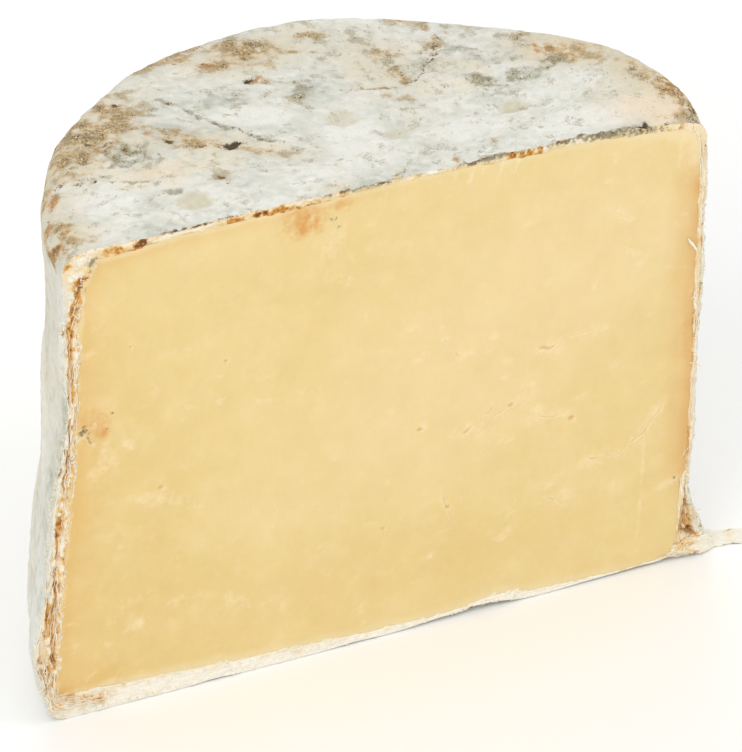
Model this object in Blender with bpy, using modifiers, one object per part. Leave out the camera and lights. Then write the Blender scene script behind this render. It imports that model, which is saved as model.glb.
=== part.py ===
"""Half of a cloth-bound, cave-aged cheddar truckle, standing on its base with the cut face to -Y.

The truckle is a turned form that has slumped as it aged: it leans towards -X, spreads at the foot
and is a little out of round. A half turn of its profile makes the half, a flat cap is the cut face,
and lens-shaped cutters open the cracks in the paste, the pockets behind the rind and the pits in
the mouldy top. At the lower right the cloth has peeled: it flares away from the paste over a small
gap and its loose tail lies on the surface beside the cheese.

Sizes are in metres. Shapes are worked out about the truckle's own axis, and the finished half is
then moved by AXIS_Y, so that the origin is on the base, under the middle of the half.
"""
import math

import bmesh
import bpy
import numpy as np
from mathutils import Matrix, Vector

# Driving sizes of the truckle
HEIGHT = 0.260
TOP_RADIUS = 0.168
AXIS_Y = -0.080
FOOT_SPREAD = 0.0015
LEAN = 0.0057
RIM_ROUND = 0.012
FOOT_ROUND = 0.016

# How finely the half turn is divided
TURN_STEPS = 62
TOP_STEP = 0.0095
SIDE_STEP = 0.0080
RIM_SEGMENTS = 5
FOOT_SEGMENTS = 4

# The slumping comes in two steps, each from its upper to its lower height
SLUMP_STEPS = ((0.165, 0.115), (0.110, 0.030))

# What the uneven form may move: the outer ring, as shares of the top radius, the side from a little
# above the flat foot, and the crust under the top
OUTER_RING = (0.80, 0.97)
FOOT_KEPT_FLAT = 0.020
TOP_CRUST = 0.040

# The swells are calm beside the cut, within these degrees, by this share
CUT_CALM = (6.0, 0.7)

# Out of round: how far the plan's outline leaves the circle, as waves that start at +X,
# the first the same all round, the next a half wave over the half turn, and so on
PLAN_WAVES = (0.0042, 0.0024, -0.0012, -0.0012, 0.0, -0.0011)

# The rind stands away at the left corner of the cut as it nears the foot: degrees, spread, push
LEFT_CORNER = (180, 9, 0.0118)

# Slow rises and falls of the top: x, y, spread along x, spread along y and lift
TOP_LEVELS = (
    (0.158, 0.000, 0.034, 0.014, -0.0065),
    (0.150, 0.055, 0.036, 0.036, 0.0035),
    (-0.095, 0.110, 0.045, 0.045, 0.0020),
)

# Swells and hollows of the whole rind: size across, height, seed
SWELLS = (
    (0.110, 0.0020, 11),
    (0.040, 0.0006, 8),
)
CUT_EDGE_RAGGED = (0.026, 0.0010, 21)

# The flared cloth at the lower right, in degrees round from the cut and metres up
FLARE_TURN = 15.0
FLARE_HEIGHT = 0.038
FLARE_REACH = 0.0125

# The loose tail of cloth: x, middle y and half width in truckle coordinates, and thickness
TAIL_STATIONS = (
    (0.150, 0.0100, 0.0070, 0.0075),
    (0.172, 0.0100, 0.0075, 0.0060),
    (0.184, 0.0090, 0.0072, 0.0036),
    (0.196, 0.0058, 0.0060, 0.0030),
    (0.208, 0.0045, 0.0054, 0.0028),
    (0.221, 0.0050, 0.0040, 0.0022),
)
TAIL_CELLS = (30, 5)

# Its sideways wave and its ragged edge as length and height, the curl of its end, and how far its
# thickness thins to the edges and rolls along it
TAIL_WAVE = (0.0350, 0.0006)
TAIL_RAGGED = (0.0140, 0.0004)
TAIL_END_CURL = 0.0020
TAIL_THIN = 0.45
TAIL_ROLL = 0.10

# The gap between the paste and the flared cloth, seen on the cut face
GAP_APEX = (0.1655, 0.0380)
GAP_FOOT = (0.1620, 0.1705)
GAP_FLOOR = 0.0140
GAP_DEPTH = 0.0140
GAP_BACK_INSET = 0.0030
GAP_BACK_DROP = 0.0100

# Cracks in the cut face: ends (x, z), width and depth
CRACKS = (
    ("curved crack, left", (0.081, 0.1445), (0.097, 0.1440), 0.0020, 0.0026),
    ("curved crack, right", (0.096, 0.1435), (0.113, 0.1490), 0.0018, 0.0022),
    ("long crack, foot", (0.108, 0.0745), (0.124, 0.0745), 0.0018, 0.0022),
    ("long crack, middle", (0.122, 0.0740), (0.138, 0.0815), 0.0020, 0.0026),
    ("long crack, head", (0.136, 0.0805), (0.149, 0.0950), 0.0018, 0.0024),
    ("cluster, foot", (0.036, 0.1035), (0.045, 0.1095), 0.0020, 0.0026),
    ("cluster, run", (0.044, 0.1090), (0.070, 0.1155), 0.0018, 0.0022),
    ("high mark", (0.028, 0.1650), (0.038, 0.1510), 0.0014, 0.0016),
    ("low mark", (0.085, 0.0580), (0.094, 0.0515), 0.0016, 0.0018),
    ("white crack", (-0.092, 0.0560), (-0.084, 0.0500), 0.0018, 0.0020),
    ("mould crack", (-0.168, 0.1640), (-0.153, 0.1600), 0.0030, 0.0045),
)

# Small holes in the cut face: x, z, radius and depth
HOLES = (
    ("left of the cluster", 0.0150, 0.1160, 0.0020, 0.0022),
    ("end of the cluster", 0.0650, 0.1170, 0.0016, 0.0022),
    ("right of the cluster", 0.1000, 0.1000, 0.0018, 0.0022),
    ("low", 0.0300, 0.0680, 0.0016, 0.0018),
    ("left", -0.1250, 0.1240, 0.0014, 0.0020),
)

# Pockets between the paste and the rind down the left edge: x, z, half height and half width
POCKETS = (
    (-0.1615, 0.2380, 0.0065, 0.0018),
    (-0.1645, 0.2220, 0.0055, 0.0016),
    (-0.1665, 0.1910, 0.0070, 0.0016),
    (-0.1700, 0.1580, 0.0050, 0.0018),
    (-0.1735, 0.1420, 0.0045, 0.0015),
    (-0.1750, 0.1100, 0.0065, 0.0018),
    (-0.1775, 0.0760, 0.0060, 0.0017),
    (-0.1820, 0.0590, 0.0035, 0.0014),
    (-0.1800, 0.0370, 0.0055, 0.0018),
)
POCKET_DEPTH = 0.0050

# Pits in the top: x, y, length, width, turn in degrees and depth
TOP_PITS = (
    ("dark chip", -0.055, 0.063, 0.0070, 0.0042, 20, 0.0020),
    ("left slit", -0.126, 0.043, 0.0080, 0.0022, 30, 0.0018),
    ("inner slit", -0.090, 0.069, 0.0080, 0.0020, 70, 0.0016),
    ("outer slit", -0.130, 0.058, 0.0070, 0.0020, 100, 0.0016),
    ("back chips", -0.015, 0.116, 0.0075, 0.0030, 160, 0.0018),
    ("crease", 0.069, 0.105, 0.0180, 0.0028, 45, 0.0018),
    ("back dot", 0.030, 0.127, 0.0032, 0.0026, 0, 0.0016),
    ("round dimple", 0.023, 0.044, 0.0110, 0.0090, 0, 0.0020),
    ("left dimple", -0.101, 0.074, 0.0120, 0.0080, 40, 0.0020),
    ("right dimple", 0.086, 0.044, 0.0100, 0.0080, 0, 0.0018),
)

# A knob of white mould on the top left corner of the cut: x, y, z and radius
KNOB = (-0.1615, 0.0030, 0.2530, 0.0045)

RIND_COLOUR = (0.66, 0.66, 0.60, 1)
PASTE_COLOUR = (0.87, 0.66, 0.31, 1)


def clear_scene():
    for obj in list(bpy.data.objects):
        bpy.data.objects.remove(obj, do_unlink=True)


def make_collection(name):
    made = bpy.data.collections.new(name)
    bpy.context.scene.collection.children.link(made)
    return made


def make_material(name, colour, roughness):
    material = bpy.data.materials.new(name)
    material.use_nodes = True
    shader = material.node_tree.nodes["Principled BSDF"]
    shader.inputs["Base Color"].default_value = colour
    shader.inputs["Roughness"].default_value = roughness
    shader.inputs["Metallic"].default_value = 0.0
    return material


def ease(value, start, end):
    """0 before start, 1 after end, and smooth between them, whichever of the two is larger."""
    share = np.clip((value - start) / (end - start), 0, 1)
    return share * share * (3 - 2 * share)


def rolling(points, size, seed):
    """Smooth noise from about -1 to 1 whose swells are about size across."""
    draw = np.random.default_rng(seed)
    total = np.zeros(len(points))
    for _ in range(14):
        way = draw.normal(size=3)
        way *= draw.uniform(0.7, 1.4) * math.pi / size / np.linalg.norm(way)
        total += np.sin(points @ way + draw.uniform(0, 2 * math.pi))
    return total / math.sqrt(14)


def slump(height):
    """How far the truckle has given at a height: 0 in its upper part and 1 at its foot."""
    return sum(ease(height, upper, lower) for upper, lower in SLUMP_STEPS) / len(SLUMP_STEPS)


def out_of_round(angle):
    return sum(push * np.cos(wave * angle) for wave, push in enumerate(PLAN_WAVES))


def top_level(x, y):
    lift = np.zeros(len(x))
    for at_x, at_y, spread_x, spread_y, amount in TOP_LEVELS:
        lift += amount * np.exp(-(((x - at_x) / spread_x) ** 2) - ((y - at_y) / spread_y) ** 2)
    return lift


def slumped(turned):
    """Points of the plain turned truckle carried to the slumped, uneven one. The foot stays flat."""
    x, y, z = turned.T
    radius = np.hypot(x, y)
    angle = np.abs(np.arctan2(y, x))
    degrees = np.degrees(angle)
    inner_ring, outer_ring = OUTER_RING
    outer = ease(radius / TOP_RADIUS, inner_ring, outer_ring)
    above_foot = ease(z, 0.0, FOOT_KEPT_FLAT)
    swell = sum(height * rolling(turned, size, seed) for size, height, seed in SWELLS)
    calm_turn, calm = CUT_CALM
    near_cut = np.exp(-((np.minimum(degrees, 180 - degrees) / calm_turn) ** 2))
    swell *= 1 - calm * near_cut
    size, height, seed = CUT_EDGE_RAGGED
    ragged = near_cut * height * rolling(turned, size, seed)
    grown = TOP_RADIUS + FOOT_SPREAD * slump(z) + out_of_round(angle)
    corner, spread, push = LEFT_CORNER
    grown += push * slump(z) * np.exp(-(((degrees - corner) / spread) ** 2))
    flare = np.clip(1 - z / FLARE_HEIGHT, 0, 1) ** 1.15 * ease(degrees, FLARE_TURN, 0.0)
    out = radius * grown / TOP_RADIUS + outer * above_foot * (swell + ragged)
    out += outer * FLARE_REACH * flare
    lift = swell + top_level(x, y)
    lift *= ease(z, HEIGHT - TOP_CRUST, HEIGHT)
    moved_x = out * np.cos(angle) - LEAN * slump(z)
    return np.stack([moved_x, out * np.sin(angle), z + lift], axis=1)


def arc(middle, radius, first, last, segments):
    """Points of an arc in the profile's plane, from one angle to another in degrees."""
    for step in range(segments + 1):
        turn = math.radians(first + (last - first) * step / segments)
        yield middle[0] + radius * math.cos(turn), middle[1] + radius * math.sin(turn)


def truckle_profile():
    """The turned profile from the middle of the top, over the rim and down to the middle of the foot."""
    flat = TOP_RADIUS - RIM_ROUND
    rings = round(flat / TOP_STEP)
    points = [(flat * ring / rings, HEIGHT) for ring in range(rings)]
    points += arc((flat, HEIGHT - RIM_ROUND), RIM_ROUND, 90, 0, RIM_SEGMENTS)
    side = HEIGHT - RIM_ROUND - FOOT_ROUND
    rows = round(side / SIDE_STEP)
    points += [(TOP_RADIUS, FOOT_ROUND + side * (1 - row / rows)) for row in range(1, rows)]
    foot = TOP_RADIUS - FOOT_ROUND
    points += arc((foot, FOOT_ROUND), FOOT_ROUND, 0, -90, FOOT_SEGMENTS)
    points += [(foot / 2, 0.0), (0.0, 0.0)]
    return points


def mesh_object(name, mesh, collection):
    obj = bpy.data.objects.new(name, mesh)
    collection.objects.link(obj)
    return obj


def turned_mesh(name, profile, collection):
    """A half turn of the profile, from +X over +Y to -X, as a plain mesh."""
    outline = bpy.data.meshes.new(name + "_profile")
    outline.from_pydata(
        [(x, 0, z) for x, z in profile],
        [(i, i + 1) for i in range(len(profile) - 1)],
        [],
    )
    guide = mesh_object(name + "_profile", outline, collection)
    screw = guide.modifiers.new("half_turn", "SCREW")
    screw.angle = math.pi
    screw.steps = TURN_STEPS
    screw.render_steps = TURN_STEPS
    screw.use_merge_vertices = True
    screw.merge_threshold = 0.00005
    graph = bpy.context.evaluated_depsgraph_get()
    made = bpy.data.meshes.new_from_object(guide.evaluated_get(graph))
    bpy.data.objects.remove(guide, do_unlink=True)
    return made


def move_points(mesh, rule):
    """Every point of the mesh moved by a rule that takes and gives an array of points."""
    flat = np.empty(len(mesh.vertices) * 3)
    mesh.vertices.foreach_get("co", flat)
    mesh.vertices.foreach_set("co", rule(flat.reshape(-1, 3)).ravel())
    mesh.update()


def cap_cut_face(mesh):
    """Closes the flat cut with one face of its own material, and turns every face outwards."""
    shape = bmesh.new()
    shape.from_mesh(mesh)
    bmesh.ops.remove_doubles(shape, verts=shape.verts, dist=0.00005)
    rim = [edge for edge in shape.edges if edge.is_boundary]
    for face in bmesh.ops.contextual_create(shape, geom=rim)["faces"]:
        face.material_index = 1
    bmesh.ops.recalc_face_normals(shape, faces=shape.faces)
    shape.to_mesh(mesh)
    shape.free()


def make_body(collection):
    mesh = turned_mesh("cheddar_half", truckle_profile(), collection)
    move_points(mesh, slumped)
    cap_cut_face(mesh)
    mesh.materials.append(make_material("rind", RIND_COLOUR, 0.95))
    mesh.materials.append(make_material("paste", PASTE_COLOUR, 0.60))
    return mesh_object("cheddar_half", mesh, collection)


def tail_shape(cube):
    """A unit cube's points laid along the tail: flat below, waved on top and thin at its edges."""
    along = cube[:, 0] + 0.5
    across = 2 * cube[:, 1]
    stations = np.array(TAIL_STATIONS)
    share = np.linspace(0, 1, len(stations))
    x, middle, half_width, thick = (np.interp(along, share, stations[:, k]) for k in range(4))
    free = ease(along, 0.2, 0.6)
    wave, ragged = (
        free * height * np.sin(2 * math.pi * x / size) for size, height in (TAIL_WAVE, TAIL_RAGGED)
    )
    y = middle + wave + across * (half_width + ragged)
    end_x = x - TAIL_END_CURL * across**2 * ease(along, 0.8, 1.0)
    rolled = 1 + TAIL_ROLL * np.sin(2 * math.pi * x / TAIL_RAGGED[0] + across)
    top = thick * (1 - TAIL_THIN * across**2) * rolled
    return np.stack([end_x, y, np.where(cube[:, 2] > 0, top, 0.0)], axis=1)


def make_tail(collection):
    mesh = bpy.data.meshes.new("loose_tail")
    shape = bmesh.new()
    bmesh.ops.create_cube(shape, size=1.0)
    long_edges = [e for e in shape.edges if abs(e.verts[0].co.x - e.verts[1].co.x) > 0.5]
    bmesh.ops.subdivide_edges(shape, edges=long_edges, cuts=TAIL_CELLS[0], use_grid_fill=True)
    wide_edges = [e for e in shape.edges if abs(e.verts[0].co.y - e.verts[1].co.y) > 0.5]
    bmesh.ops.subdivide_edges(shape, edges=wide_edges, cuts=TAIL_CELLS[1], use_grid_fill=True)
    shape.to_mesh(mesh)
    shape.free()
    move_points(mesh, tail_shape)
    return mesh_object("loose_tail", mesh, collection)


def lens(name, collection, middle, half_sizes, turn, segments=10):
    """An ellipsoid cutter or lump. turn is the matrix that carries its own axes to their place."""
    mesh = bpy.data.meshes.new(name)
    shape = bmesh.new()
    place = Matrix.Translation(middle) @ turn @ Matrix.Diagonal((*half_sizes, 1))
    bmesh.ops.create_uvsphere(shape, u_segments=segments, v_segments=6, radius=1.0, matrix=place)
    shape.to_mesh(mesh)
    shape.free()
    return mesh_object(name, mesh, collection)


def cut_cracks(cutters):
    for name, start, end, width, depth in CRACKS:
        run = Vector((end[0] - start[0], 0, end[1] - start[1]))
        middle = ((start[0] + end[0]) / 2, 0, (start[1] + end[1]) / 2)
        turn = Matrix.Rotation(math.atan2(-run.z, run.x), 4, "Y")
        lens(name, cutters, middle, (run.length / 2, depth, width / 2), turn)


def cut_holes(cutters):
    for name, x, z, radius, depth in HOLES:
        lens(name, cutters, (x, 0, z), (radius, depth, radius * 0.8), Matrix(), segments=8)


def cut_pockets(cutters):
    for number, (x, z, half_height, half_width) in enumerate(POCKETS):
        sizes = (half_width, POCKET_DEPTH, half_height)
        lens(f"pocket_{number}", cutters, (x, 0, z), sizes, Matrix(), segments=8)


def cut_top_pits(cutters):
    for name, x, y, length, width, degrees, depth in TOP_PITS:
        inside = np.array([[x, y, HEIGHT]])
        surface = slumped(inside)[0]
        turn = Matrix.Rotation(math.radians(degrees), 4, "Z")
        lens(name, cutters, surface, (length / 2, width / 2, depth), turn, segments=8)


def cut_gap(cutters):
    """A wedge that opens between the paste and the flared cloth, narrowing upwards and inwards."""
    shape = bmesh.new()
    front, back = -0.004, GAP_DEPTH
    left, right = GAP_FOOT
    foot = [(left, front), (right, front), (right - GAP_BACK_INSET, back), (left, back)]
    low = [shape.verts.new((x, y, GAP_FLOOR)) for x, y in foot]
    x, z = GAP_APEX
    ridge = [(x, front, z), (x, back / 2, z - GAP_BACK_DROP)]
    top = [shape.verts.new(point) for point in ridge]
    shape.faces.new(low)
    shape.faces.new((low[0], top[0], low[1]))
    shape.faces.new((low[1], top[0], top[1], low[2]))
    shape.faces.new((low[2], top[1], low[3]))
    shape.faces.new((low[3], top[1], top[0], low[0]))
    bmesh.ops.triangulate(shape, faces=shape.faces)
    bmesh.ops.recalc_face_normals(shape, faces=shape.faces)
    mesh = bpy.data.meshes.new("cloth_gap")
    shape.to_mesh(mesh)
    shape.free()
    mesh_object("cloth_gap", mesh, cutters)


def apply_boolean(obj, operation, collection):
    modifier = obj.modifiers.new(operation.lower(), "BOOLEAN")
    modifier.operation = operation
    modifier.operand_type = "COLLECTION"
    modifier.collection = collection
    modifier.solver = "EXACT"
    graph = bpy.context.evaluated_depsgraph_get()
    made = bpy.data.meshes.new_from_object(obj.evaluated_get(graph))
    obj.modifiers.clear()
    obj.data = made


def fuse(obj, collection):
    """Joins a collection's lumps to the object, and removes them."""
    apply_boolean(obj, "UNION", collection)
    for lump in list(collection.objects):
        bpy.data.objects.remove(lump, do_unlink=True)


def hide_cutters(cutters):
    cutters.hide_render = True
    for cutter in cutters.objects:
        cutter.hide_render = True
        cutter.display_type = "WIRE"


def main():
    clear_scene()
    cheese = make_collection("cave_aged_cheddar")
    lumps = make_collection("fused_lumps")
    cutters = make_collection("cutters")
    body = make_body(cheese)
    make_tail(lumps)
    x, y, z, radius = KNOB
    lens("mould_knob", lumps, (x, y, z), (radius, radius * 0.8, radius), Matrix(), segments=8)
    fuse(body, lumps)
    cut_cracks(cutters)
    cut_holes(cutters)
    cut_pockets(cutters)
    cut_top_pits(cutters)
    cut_gap(cutters)
    apply_boolean(body, "DIFFERENCE", cutters)
    hide_cutters(cutters)
    to_origin = Matrix.Translation((0, AXIS_Y, 0))
    body.data.transform(to_origin)
    for cutter in cutters.objects:
        cutter.data.transform(to_origin)
    body.data.shade_smooth()
    body.data.set_sharp_from_angle(angle=math.radians(40))


main()
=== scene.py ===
# %% [markdown]
# Half of a cave-aged cheddar
#
# A cloth-bound cheddar is a tall drum of pressed curd. It is bandaged in muslin, rubbed with lard and
# left in a damp cellar for a year or more, where grey and white moulds cover the cloth. This one has been
# cut down the middle with a wire, so it shows a flat face of pale yellow paste, framed by the section of
# its rind.
#
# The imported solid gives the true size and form. This script dresses it: every visible surface is made
# again from the same sizes at a much finer grain, with the mould, stains, cracks and loose threads of the
# real one.

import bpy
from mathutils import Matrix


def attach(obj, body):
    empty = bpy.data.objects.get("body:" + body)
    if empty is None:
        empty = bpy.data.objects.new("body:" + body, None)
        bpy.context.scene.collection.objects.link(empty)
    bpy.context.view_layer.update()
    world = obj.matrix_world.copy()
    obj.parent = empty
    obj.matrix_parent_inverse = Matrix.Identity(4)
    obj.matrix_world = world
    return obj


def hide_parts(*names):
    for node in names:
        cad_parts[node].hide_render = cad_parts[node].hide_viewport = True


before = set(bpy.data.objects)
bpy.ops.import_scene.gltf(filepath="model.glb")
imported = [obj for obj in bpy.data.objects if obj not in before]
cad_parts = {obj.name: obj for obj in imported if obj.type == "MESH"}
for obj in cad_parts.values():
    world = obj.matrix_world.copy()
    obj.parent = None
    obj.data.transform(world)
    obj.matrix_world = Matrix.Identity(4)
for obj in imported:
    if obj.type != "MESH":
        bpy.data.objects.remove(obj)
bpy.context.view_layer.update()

# %% Tools used below
import functools
import math

import bmesh
import bpy
import numpy as np
from mathutils import Matrix, Vector, kdtree, noise

# %% [markdown]
# The camera first
#
# Shapes are judged through the photograph's own view, so the camera comes first. The photograph was taken
# with a long lens from the left and above: the upright edges hardly converge and the top is seen at about
# 30 degrees. The distance and the lens were worked out from the straight edges of the cut face. Positions
# are in metres, in the frame of the solid. The truckle's own axis stands at AXIS_Y, and the cut face lies
# in that plane.

# %% Camera
AXIS_Y = -0.08
AIM = Vector((-0.0106, AXIS_Y, 0.1536))
AZIMUTH = math.radians(-25.0)
ELEVATION = math.radians(31.5)
DISTANCE = 2.835
FOCAL_PIXELS = 5853.0
LONG_SIDE_PIXELS = 752
SENSOR_MM = 36.0


def toward_camera(azimuth, elevation):
    """The direction from the object to a camera, by azimuth round from -Y and elevation over the floor."""
    flat = math.cos(elevation)
    return Vector((math.sin(azimuth) * flat, -math.cos(azimuth) * flat, math.sin(elevation)))


def aimed(name, data, place, target):
    """A camera or a light at a place, turned to look at a target."""
    made = bpy.data.objects.new(name, data)
    bpy.context.scene.collection.objects.link(made)
    made.location = place
    made.rotation_euler = (place - target).to_track_quat("Z", "Y").to_euler()
    return made


lens = bpy.data.cameras.new("photo_view")
lens.sensor_width = SENSOR_MM
lens.lens = FOCAL_PIXELS * SENSOR_MM / LONG_SIDE_PIXELS
lens.clip_end = 30.0
camera = aimed("photo_view", lens, AIM + DISTANCE * toward_camera(AZIMUTH, ELEVATION), AIM)
bpy.context.scene.camera = camera
print("camera at", [round(c, 3) for c in camera.location], "lens", round(lens.lens, 1))

# %% [markdown]
# Light and background
#
# The photograph is lit evenly from all round, as in a light tent: shadows are faint and colours are
# clean. A pale sky gives most of the light. One large soft lamp from the front left shapes the cut face a
# little, and two others pick out the relief of the rind. The plain Standard view keeps the painted
# colours true.

# %% Studio light
SKY_STRENGTH = 0.78
LAMPS = (
    # name, azimuth, elevation, distance, size, watts
    ("front_lamp", -48, 42, 2.2, 1.5, 15.0), ("right_lamp", 62, 40, 2.4, 1.2, 7.0),
    ("rear_lamp", 165, 35, 2.4, 1.4, 8.0),
)

sky = bpy.data.worlds.new("light_tent")
sky.use_nodes = True
sky.node_tree.nodes["Background"].inputs["Color"].default_value = (1.0, 1.0, 1.0, 1.0)
sky.node_tree.nodes["Background"].inputs["Strength"].default_value = SKY_STRENGTH
bpy.context.scene.world = sky
bpy.context.scene.view_settings.view_transform = "Standard"

for name, azimuth, elevation, distance, size, watts in LAMPS:
    lamp = bpy.data.lights.new(name, "AREA")
    lamp.shape = "DISK"
    lamp.size = size
    lamp.energy = watts
    aimed(name, lamp, AIM + distance * toward_camera(math.radians(azimuth), math.radians(elevation)), AIM)
print(len(LAMPS), "lamps under a sky of strength", SKY_STRENGTH)

# %% [markdown]
# Helpers for colours and materials
#
# Colours are written as they look on a screen, from 0 to 255, and turned into the linear values that a
# renderer adds up. A material is a short list of nodes, so one helper makes a node, sets its properties
# and wires it.

# %% Colour and node helpers


def linear(red, green, blue):
    """A screen colour as linear values."""
    share = np.array([red, green, blue]) / 255
    return np.where(share <= 0.04045, share / 12.92, ((share + 0.055) / 1.055) ** 2.4)


def new_material(name, roughness, specular):
    """A material with only its Principled shader, and that shader's node tree."""
    material = bpy.data.materials.new(name)
    material.use_nodes = True
    tree = material.node_tree
    shader = tree.nodes["Principled BSDF"]
    shader.inputs["Roughness"].default_value = roughness
    shader.inputs["Specular IOR Level"].default_value = specular
    return material, tree, shader


def add_node(tree, kind, inputs=(), **settings):
    """A node of a kind, with its properties, and with the value or the link of each input."""
    node = tree.nodes.new(kind)
    for key, value in settings.items():
        setattr(node, key, value)
    for key, value in dict(inputs).items():
        if isinstance(value, bpy.types.NodeSocket):
            tree.links.new(value, node.inputs[key])
        else:
            node.inputs[key].default_value = value
    return node


# %% Floor
FLOOR_REACH = 4.0
FLOOR_DROP = 0.0002

floor_mesh = bpy.data.meshes.new("floor")
floor_shape = bmesh.new()
bmesh.ops.create_grid(floor_shape, size=FLOOR_REACH, matrix=Matrix.Translation((0, 0, -FLOOR_DROP)))
floor_shape.to_mesh(floor_mesh)
floor_shape.free()
floor = bpy.data.objects.new("floor", floor_mesh)
bpy.context.scene.collection.objects.link(floor)
floor_material, _, floor_shader = new_material("pale_floor", 0.9, 0.1)
floor_shader.inputs["Base Color"].default_value = (*linear(250, 250, 249), 1)
floor_mesh.materials.append(floor_material)
print("floor", FLOOR_REACH * 2, "m across")

# %% [markdown]
# The slumped truckle
#
# In the mould the cheese was a plain drum. In the cellar it has leaned, spread at the foot and gone a
# little out of round, and its top has sunk in places. The same sizes and the same rule that shaped the
# solid are used here, so the fine surfaces lie exactly where the solid's do. The rule takes points of the
# plain drum and moves them.

# %% Driving sizes
HEIGHT = 0.26
TOP_RADIUS = 0.168
FOOT_SPREAD = 0.0015
LEAN = 0.0057
RIM_ROUND = 0.012
FOOT_ROUND = 0.016
SLUMP_STEPS = ((0.165, 0.115), (0.11, 0.03))
OUTER_RING = (0.8, 0.97)
FOOT_KEPT_FLAT = 0.02
TOP_CRUST = 0.04
CUT_CALM = (6.0, 0.7)
PLAN_WAVES = (0.0042, 0.0024, -0.0012, -0.0012, 0.0, -0.0011)
LEFT_CORNER = (180, 9, 0.0118)
TOP_LEVELS = (
    # x, y, spread along x, spread along y, lift
    (0.158, 0.0, 0.034, 0.014, -0.0065), (0.15, 0.055, 0.036, 0.036, 0.0035),
    (-0.095, 0.11, 0.045, 0.045, 0.002),
)
SWELLS = ((0.11, 0.002, 11), (0.04, 0.0006, 8))
CUT_EDGE_RAGGED = (0.026, 0.001, 21)
FLARE_TURN = 15.0
FLARE_HEIGHT = 0.038
FLARE_REACH = 0.0125

# %% Rule of the slump


def ease(value, start, end):
    """0 before start, 1 after end, and smooth between them, whichever of the two is larger."""
    share = np.clip((value - start) / (end - start), 0, 1)
    return share * share * (3 - 2 * share)


def hump(value, width):
    """1 at zero, falling off smoothly on both sides within about a width."""
    return np.exp(-((value / width) ** 2))


def rolling(points, size, seed):
    """Smooth noise from about -1 to 1 whose swells are about size across."""
    draw = np.random.default_rng(seed)
    total = np.zeros(len(points))
    for _ in range(14):
        way = draw.normal(size=3)
        way *= draw.uniform(0.7, 1.4) * math.pi / size / np.linalg.norm(way)
        total += np.sin(points @ way + draw.uniform(0, 2 * math.pi))
    return total / math.sqrt(14)


def slump(height):
    """How far the truckle has given at a height: 0 in its upper part and 1 at its foot."""
    return sum(ease(height, upper, lower) for upper, lower in SLUMP_STEPS) / len(SLUMP_STEPS)


def top_level(x, y):
    """How far the top has risen or sunk at a place."""
    lift = np.zeros(len(x))
    for at_x, at_y, spread_x, spread_y, amount in TOP_LEVELS:
        lift += amount * np.exp(-(((x - at_x) / spread_x) ** 2) - ((y - at_y) / spread_y) ** 2)
    return lift


def slumped(turned):
    """Points of the plain turned truckle carried to the slumped, uneven one. The foot stays flat."""
    x, y, z = turned.T
    radius = np.hypot(x, y)
    angle = np.abs(np.arctan2(y, x))
    degrees = np.degrees(angle)
    inner_ring, outer_ring = OUTER_RING
    outer = ease(radius / TOP_RADIUS, inner_ring, outer_ring)
    above_foot = ease(z, 0.0, FOOT_KEPT_FLAT)
    swell = sum(height * rolling(turned, size, seed) for size, height, seed in SWELLS)
    calm_turn, calm = CUT_CALM
    near_cut = hump(np.minimum(degrees, 180 - degrees), calm_turn)
    swell *= 1 - calm * near_cut
    size, height, seed = CUT_EDGE_RAGGED
    ragged = near_cut * height * rolling(turned, size, seed)
    grown = TOP_RADIUS + FOOT_SPREAD * slump(z)
    grown += sum(push * np.cos(wave * angle) for wave, push in enumerate(PLAN_WAVES))
    corner, spread, push = LEFT_CORNER
    grown += push * slump(z) * hump(degrees - corner, spread)
    flare = np.clip(1 - z / FLARE_HEIGHT, 0, 1) ** 1.15 * ease(degrees, FLARE_TURN, 0.0)
    out = radius * grown / TOP_RADIUS + outer * above_foot * (swell + ragged)
    out += outer * FLARE_REACH * flare
    lift = swell + top_level(x, y)
    lift *= ease(z, HEIGHT - TOP_CRUST, HEIGHT)
    moved_x = out * np.cos(angle) - LEAN * slump(z)
    return np.stack([moved_x, out * np.sin(angle), z + lift], axis=1)


# %% [markdown]
# The drum's profile runs from the middle of the top, over the rounded rim, down the side and round the
# foot. A place on the rind is then two numbers: the run along that profile, and the angle round the axis
# from the right end of the cut, over the back, to its left end.

# %% Profile of the drum
FLAT_RUN = TOP_RADIUS - RIM_ROUND
RIM_RUN = RIM_ROUND * math.pi / 2
SIDE_RUN = HEIGHT - RIM_ROUND - FOOT_ROUND
FOOT_RUN = FOOT_ROUND * math.pi / 2
SIDE_START = FLAT_RUN + RIM_RUN
BASE_START = SIDE_START + SIDE_RUN + FOOT_RUN
WHOLE_RUN = BASE_START + TOP_RADIUS - FOOT_ROUND


def profile_point(run):
    """Radius, height and tilt at a run. Tilt is 0 facing up and a quarter turn facing out."""
    rim_turn = np.clip((run - FLAT_RUN) / RIM_ROUND, 0, math.pi / 2)
    foot_turn = np.clip((run - SIDE_START - SIDE_RUN) / FOOT_ROUND, 0, math.pi / 2)
    down_side = np.clip(run - SIDE_START, 0, SIDE_RUN)
    along_base = np.clip(run - BASE_START, 0, None)
    radius = np.minimum(run, FLAT_RUN) + RIM_ROUND * np.sin(rim_turn)
    radius -= FOOT_ROUND * (1 - np.cos(foot_turn)) + along_base
    height = HEIGHT - RIM_ROUND * (1 - np.cos(rim_turn)) - down_side - FOOT_ROUND * np.sin(foot_turn)
    return radius, height, rim_turn + foot_turn


def rind_place(around, run):
    """Points of the slumped truckle's surface, and the directions out of it."""
    radius, height, tilt = profile_point(run)
    ahead, aside = np.cos(around), np.sin(around)
    turned = np.stack([radius * ahead, radius * aside, height], axis=1)
    outward = np.stack([np.sin(tilt) * ahead, np.sin(tilt) * aside, np.cos(tilt)], axis=1)
    return slumped(turned), outward


print("profile run", round(WHOLE_RUN, 4), "m")

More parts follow.
